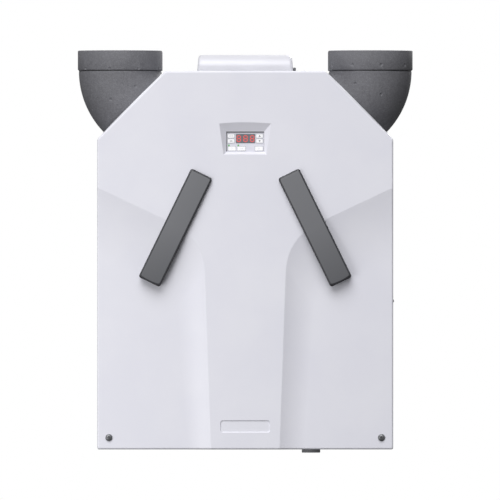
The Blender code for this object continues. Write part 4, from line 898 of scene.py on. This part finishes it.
def makeDisplay():
    low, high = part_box("display_window")
    centre = (low + high) / 2
    outlines = []
    for place in (-1, 0, 1):
        outlines += digitSegments(centre.x + place * displayShape["pitch"], centre.z)
    proud = displayShape["proud"]
    inlay("displayDigits", outlines, low.y - proud, proud * 0.9, finishes["ledRed"], "cabinet",
          "window_plastic")

    symbols = {
        "fan": lambda x, z: [disc(x, z, 0.0005)] + [
            [(x + side * 0.0008, z), (x + side * 0.0024, z + side * 0.0009), (x + side * 0.0034, z),
             (x + side * 0.0024, z - side * 0.0004)][::side] for side in (-1, 1)],
        "filter": lambda x, z: [bar(x - 0.0020, z, 0.0003, 0.0016), bar(x + 0.0020, z, 0.0003, 0.0016)] + [
            bar(x + k * 0.0010, z, 0.00028, 0.0012) for k in (-1, 0, 1)],
        "up": lambda x, z: [[(x - 0.0021, z - 0.0012), (x + 0.0021, z - 0.0012), (x, z + 0.0015)]],
        "down": lambda x, z: [[(x - 0.0021, z + 0.0012), (x, z - 0.0015), (x + 0.0021, z + 0.0012)]],
        "timer": lambda x, z: [
            [(x + 0.0021 * math.cos(a) * s, z + 0.0021 * math.sin(a) * s) for s, a in
             ((1, b), (1, b + 0.5), (0.8, b + 0.5), (0.8, b))] for b in [k * math.pi / 4 for k in range(8)]]
            + [bar(x, z + 0.0006, 0.00018, 0.0007)],
        "bypass": lambda x, z: [bar(x - 0.0008, z, 0.0020, 0.0002),
                                [(x + 0.0012, z - 0.0010), (x + 0.0028, z), (x + 0.0012, z + 0.0010)]],
        "menu": lambda x, z: [bar(x, z + k * 0.0011, 0.0022, 0.00022) for k in (-1, 0, 1)],
    }
    for key, drawSymbol in symbols.items():
        low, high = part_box(f"{key}_key")
        inlay(f"{key}Symbol", drawSymbol((low.x + high.x) / 2, (low.z + high.z) / 2), low.y - 0.00006,
              0.00005, finishes[iconTones.get(key, "iconPale")], f"{key}_key_cap", "key_plastic")

    # painted shadow: dark strips between the cover and the keypad, where the window's rim casts shade; more
    # of them shows at the top and on the left
    half, bottom, top = funnelShape["window"]
    bottom, top = base + bottom, base + top
    shows, sideTop = displayShape["paintedShadowWidths"], top - displayShape["paintedShadowWidths"]["top"] - displayShape["paintedShadowGap"]
    strips = [((-half, top - shows["top"]), (half, top)), ((-half, bottom), (shows["left"] - half, sideTop)),
              ((half - shows["right"], bottom), (half, sideTop))]
    inlay("windowPaintedShadow", [[a, (b[0], a[1]), b, (a[0], b[1])] for a, b in strips],
          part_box("keypad_fascia")[0].y - displayShape["paintedShadowProud"], displayShape["paintedShadowThick"],
          finishes["greyRubber"], "cabinet", "rubber")


# screws
screwShape = {
    "steps": 28, "domeSteps": 8, "rim": 0.18,     # share of the height below the dome
    "recess": 0.55, "slot": 0.11,                 # half length and half width of the cross, per radius
    "sunk": 0.0002,
}
# radius and height of the head, then the places
coatedScrews = {
    "roof": (0.0035, 0.0042, [(-0.112, -0.334), (-0.0975, -0.310), (0.099, -0.310), (0.113, -0.334)]
             + [(x, -0.030) for x in (-0.125, -0.042, 0.042, 0.125)]),
    "back": (0.004, 0.0024, [(x, "foot") for x in (-0.24, -0.08, 0.08, 0.24)]
             + [(sign * 0.262, z) for sign in (-1, 1) for z in (-0.46, -0.30, -0.14)]
             + [(x, "top") for x in (-0.13, 0.13)]),
    "leftSide": (0.0037, 0.0032, [(-0.330, -0.029), (-0.330, -0.560), (-0.040, -0.060), (-0.040, -0.560)]),
    "rightSide": (0.0037, 0.0020, [(-0.330, -0.560), (-0.040, -0.060), (-0.040, -0.560)]),
}


# domed head with a cross recess; place carries its seat, with the head growing along local Z
def makeScrew(name, place, radius, height, material, slot, nodes=()):
    rim, dome = screwShape["rim"], screwShape["domeSteps"]
    profile = [(radius * 0.96, -0.0002), (radius, 0.0), (radius, height * rim)]
    for k in range(1, dome):
        turn = math.pi / 2 * k / dome
        profile.append((radius * math.cos(turn), height * (rim + (1 - rim) * math.sin(turn))))
    profile.append((radius * 0.05, height))
    head = lathe(name, profile, place, screwShape["steps"])
    head.data.materials.append(material)
    cutters = []
    half, thin = radius * screwShape["recess"], radius * screwShape["slot"]
    for wide, tall in ((thin, half), (half, thin)):
        outline = [(-wide, -tall), (wide, -tall), (wide, tall), (-wide, tall)]
        rings = [[place @ Vector((x * share, y * share, level)) for x, y in outline]
                 for share, level in ((1.1, height * 1.2), (0.75, height * 0.45))]
        cutters.append(skin("recess", rings))
    carve(head, cutters)
    return settle(smooth(head, 40), "cabinet", slot, *nodes)


def makeScrews():
    forward, backward = (Matrix.Rotation(turn, 4, "X") for turn in (math.pi / 2, -math.pi / 2))
    rightward, leftward = (Matrix.Rotation(turn, 4, "Y") for turn in (math.pi / 2, -math.pi / 2))
    for side in ("left", "right"):
        low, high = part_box(f"{side}_cover_screw")
        seat = coverLow.y + coverShape["recess"] - 0.0003
        middle = Matrix.Translation(((low.x + high.x) / 2, seat, (low.z + high.z) / 2))
        makeScrew(f"{side}CoverScrew", middle @ forward, (high.x - low.x) / 2, seat - low.y,
                  finishes["blackNickel"], "black_plastic", (f"{side}_cover_screw",))
    low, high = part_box("side_screw")
    middle = Matrix.Translation((low.x, (low.y + high.y) / 2, (low.z + high.z) / 2))
    makeScrew("sideScrew", middle @ rightward, (high.z - low.z) / 2, high.x - low.x,
              finishes["blackOxide"], "black_plastic", ("side_screw",))

    sunk, side = screwShape["sunk"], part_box("left_side_plate")[0].x
    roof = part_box("top_plate")[1].z
    backLow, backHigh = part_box("back_plate")
    rows = {"foot": backLow.z + 0.012, "top": backHigh.z - 0.010}
    seats = {
        "roof": lambda x, y: Matrix.Translation((x, y, roof + sunk)),
        "back": lambda x, z: Matrix.Translation((x, backHigh.y + sunk, rows.get(z, z))) @ backward,
        "leftSide": lambda y, z: Matrix.Translation((side - sunk, y, z)) @ leftward,
        "rightSide": lambda y, z: Matrix.Translation((-side + sunk, y, z)) @ rightward,
    }
    for face, (radius, height, spots) in coatedScrews.items():
        for k, spot in enumerate(spots):
            makeScrew(f"{face}Screw{k}", seats[face](*spot), radius, height, finishes["coatedScrew"],
                      "casing_sheet")


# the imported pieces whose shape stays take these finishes
nodeFinishes = {
    "powderCoat": ("back_plate", "bottom_plate", "left_side_plate", "right_side_plate", "top_plate"),
    "galvanised": ("wall_rail", "hanger_bracket"),
    "coreFoam": ("foam_core", "rear_foam", "cover_insulation", "left_filter_plug", "right_filter_plug"),
    "rubber": ("wall_buffer", "left_filter_seal", "right_filter_seal"),
    "greyRubber": ("cable_grommet",),
    "blackPolyamide": ("supply_fan_housing", "exhaust_fan_housing", "supply_impeller", "exhaust_impeller",
                       "bypass_flap", "bypass_servo", "condensate_tray", "control_box"),
    "castAluminium": ("supply_fan_motor", "exhaust_fan_motor"),
    "exchangerPlates": ("exchanger_core",),
    "filterCard": ("left_filter_frame", "right_filter_frame"),
    "filterFleece": ("left_filter_pleats", "right_filter_pleats"),
    "board": ("control_board", "display_board"),
    "fascia": ("keypad_fascia",),
    "ledFace": ("display_window",),
    "ledGreen": ("timer_light", "bypass_light"),
    "keyWhite": ("fan_key", "filter_key", "up_key", "down_key", "timer_key", "bypass_key", "menu_key"),
    "drainGrey": ("drain_spigot",),
}


def finishNodes():
    for finish, names in nodeFinishes.items():
        for name in names:
            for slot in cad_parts[name].material_slots:
                slot.material = finishes[finish]


makeCamera()
makeStudio()
finishNodes()
print("studio and carried-over pieces done")
makeCover()
print("cover done")
for ductSide in ("left", "right"):
    for ductPlace in ("front", "rear"):
        makeDuct(ductSide, ductPlace)
    makeHandle(ductSide)
print("ducts and handles done")
makeHood()
makeDisplay()
makeScrews()
print("hood, display and screws done")
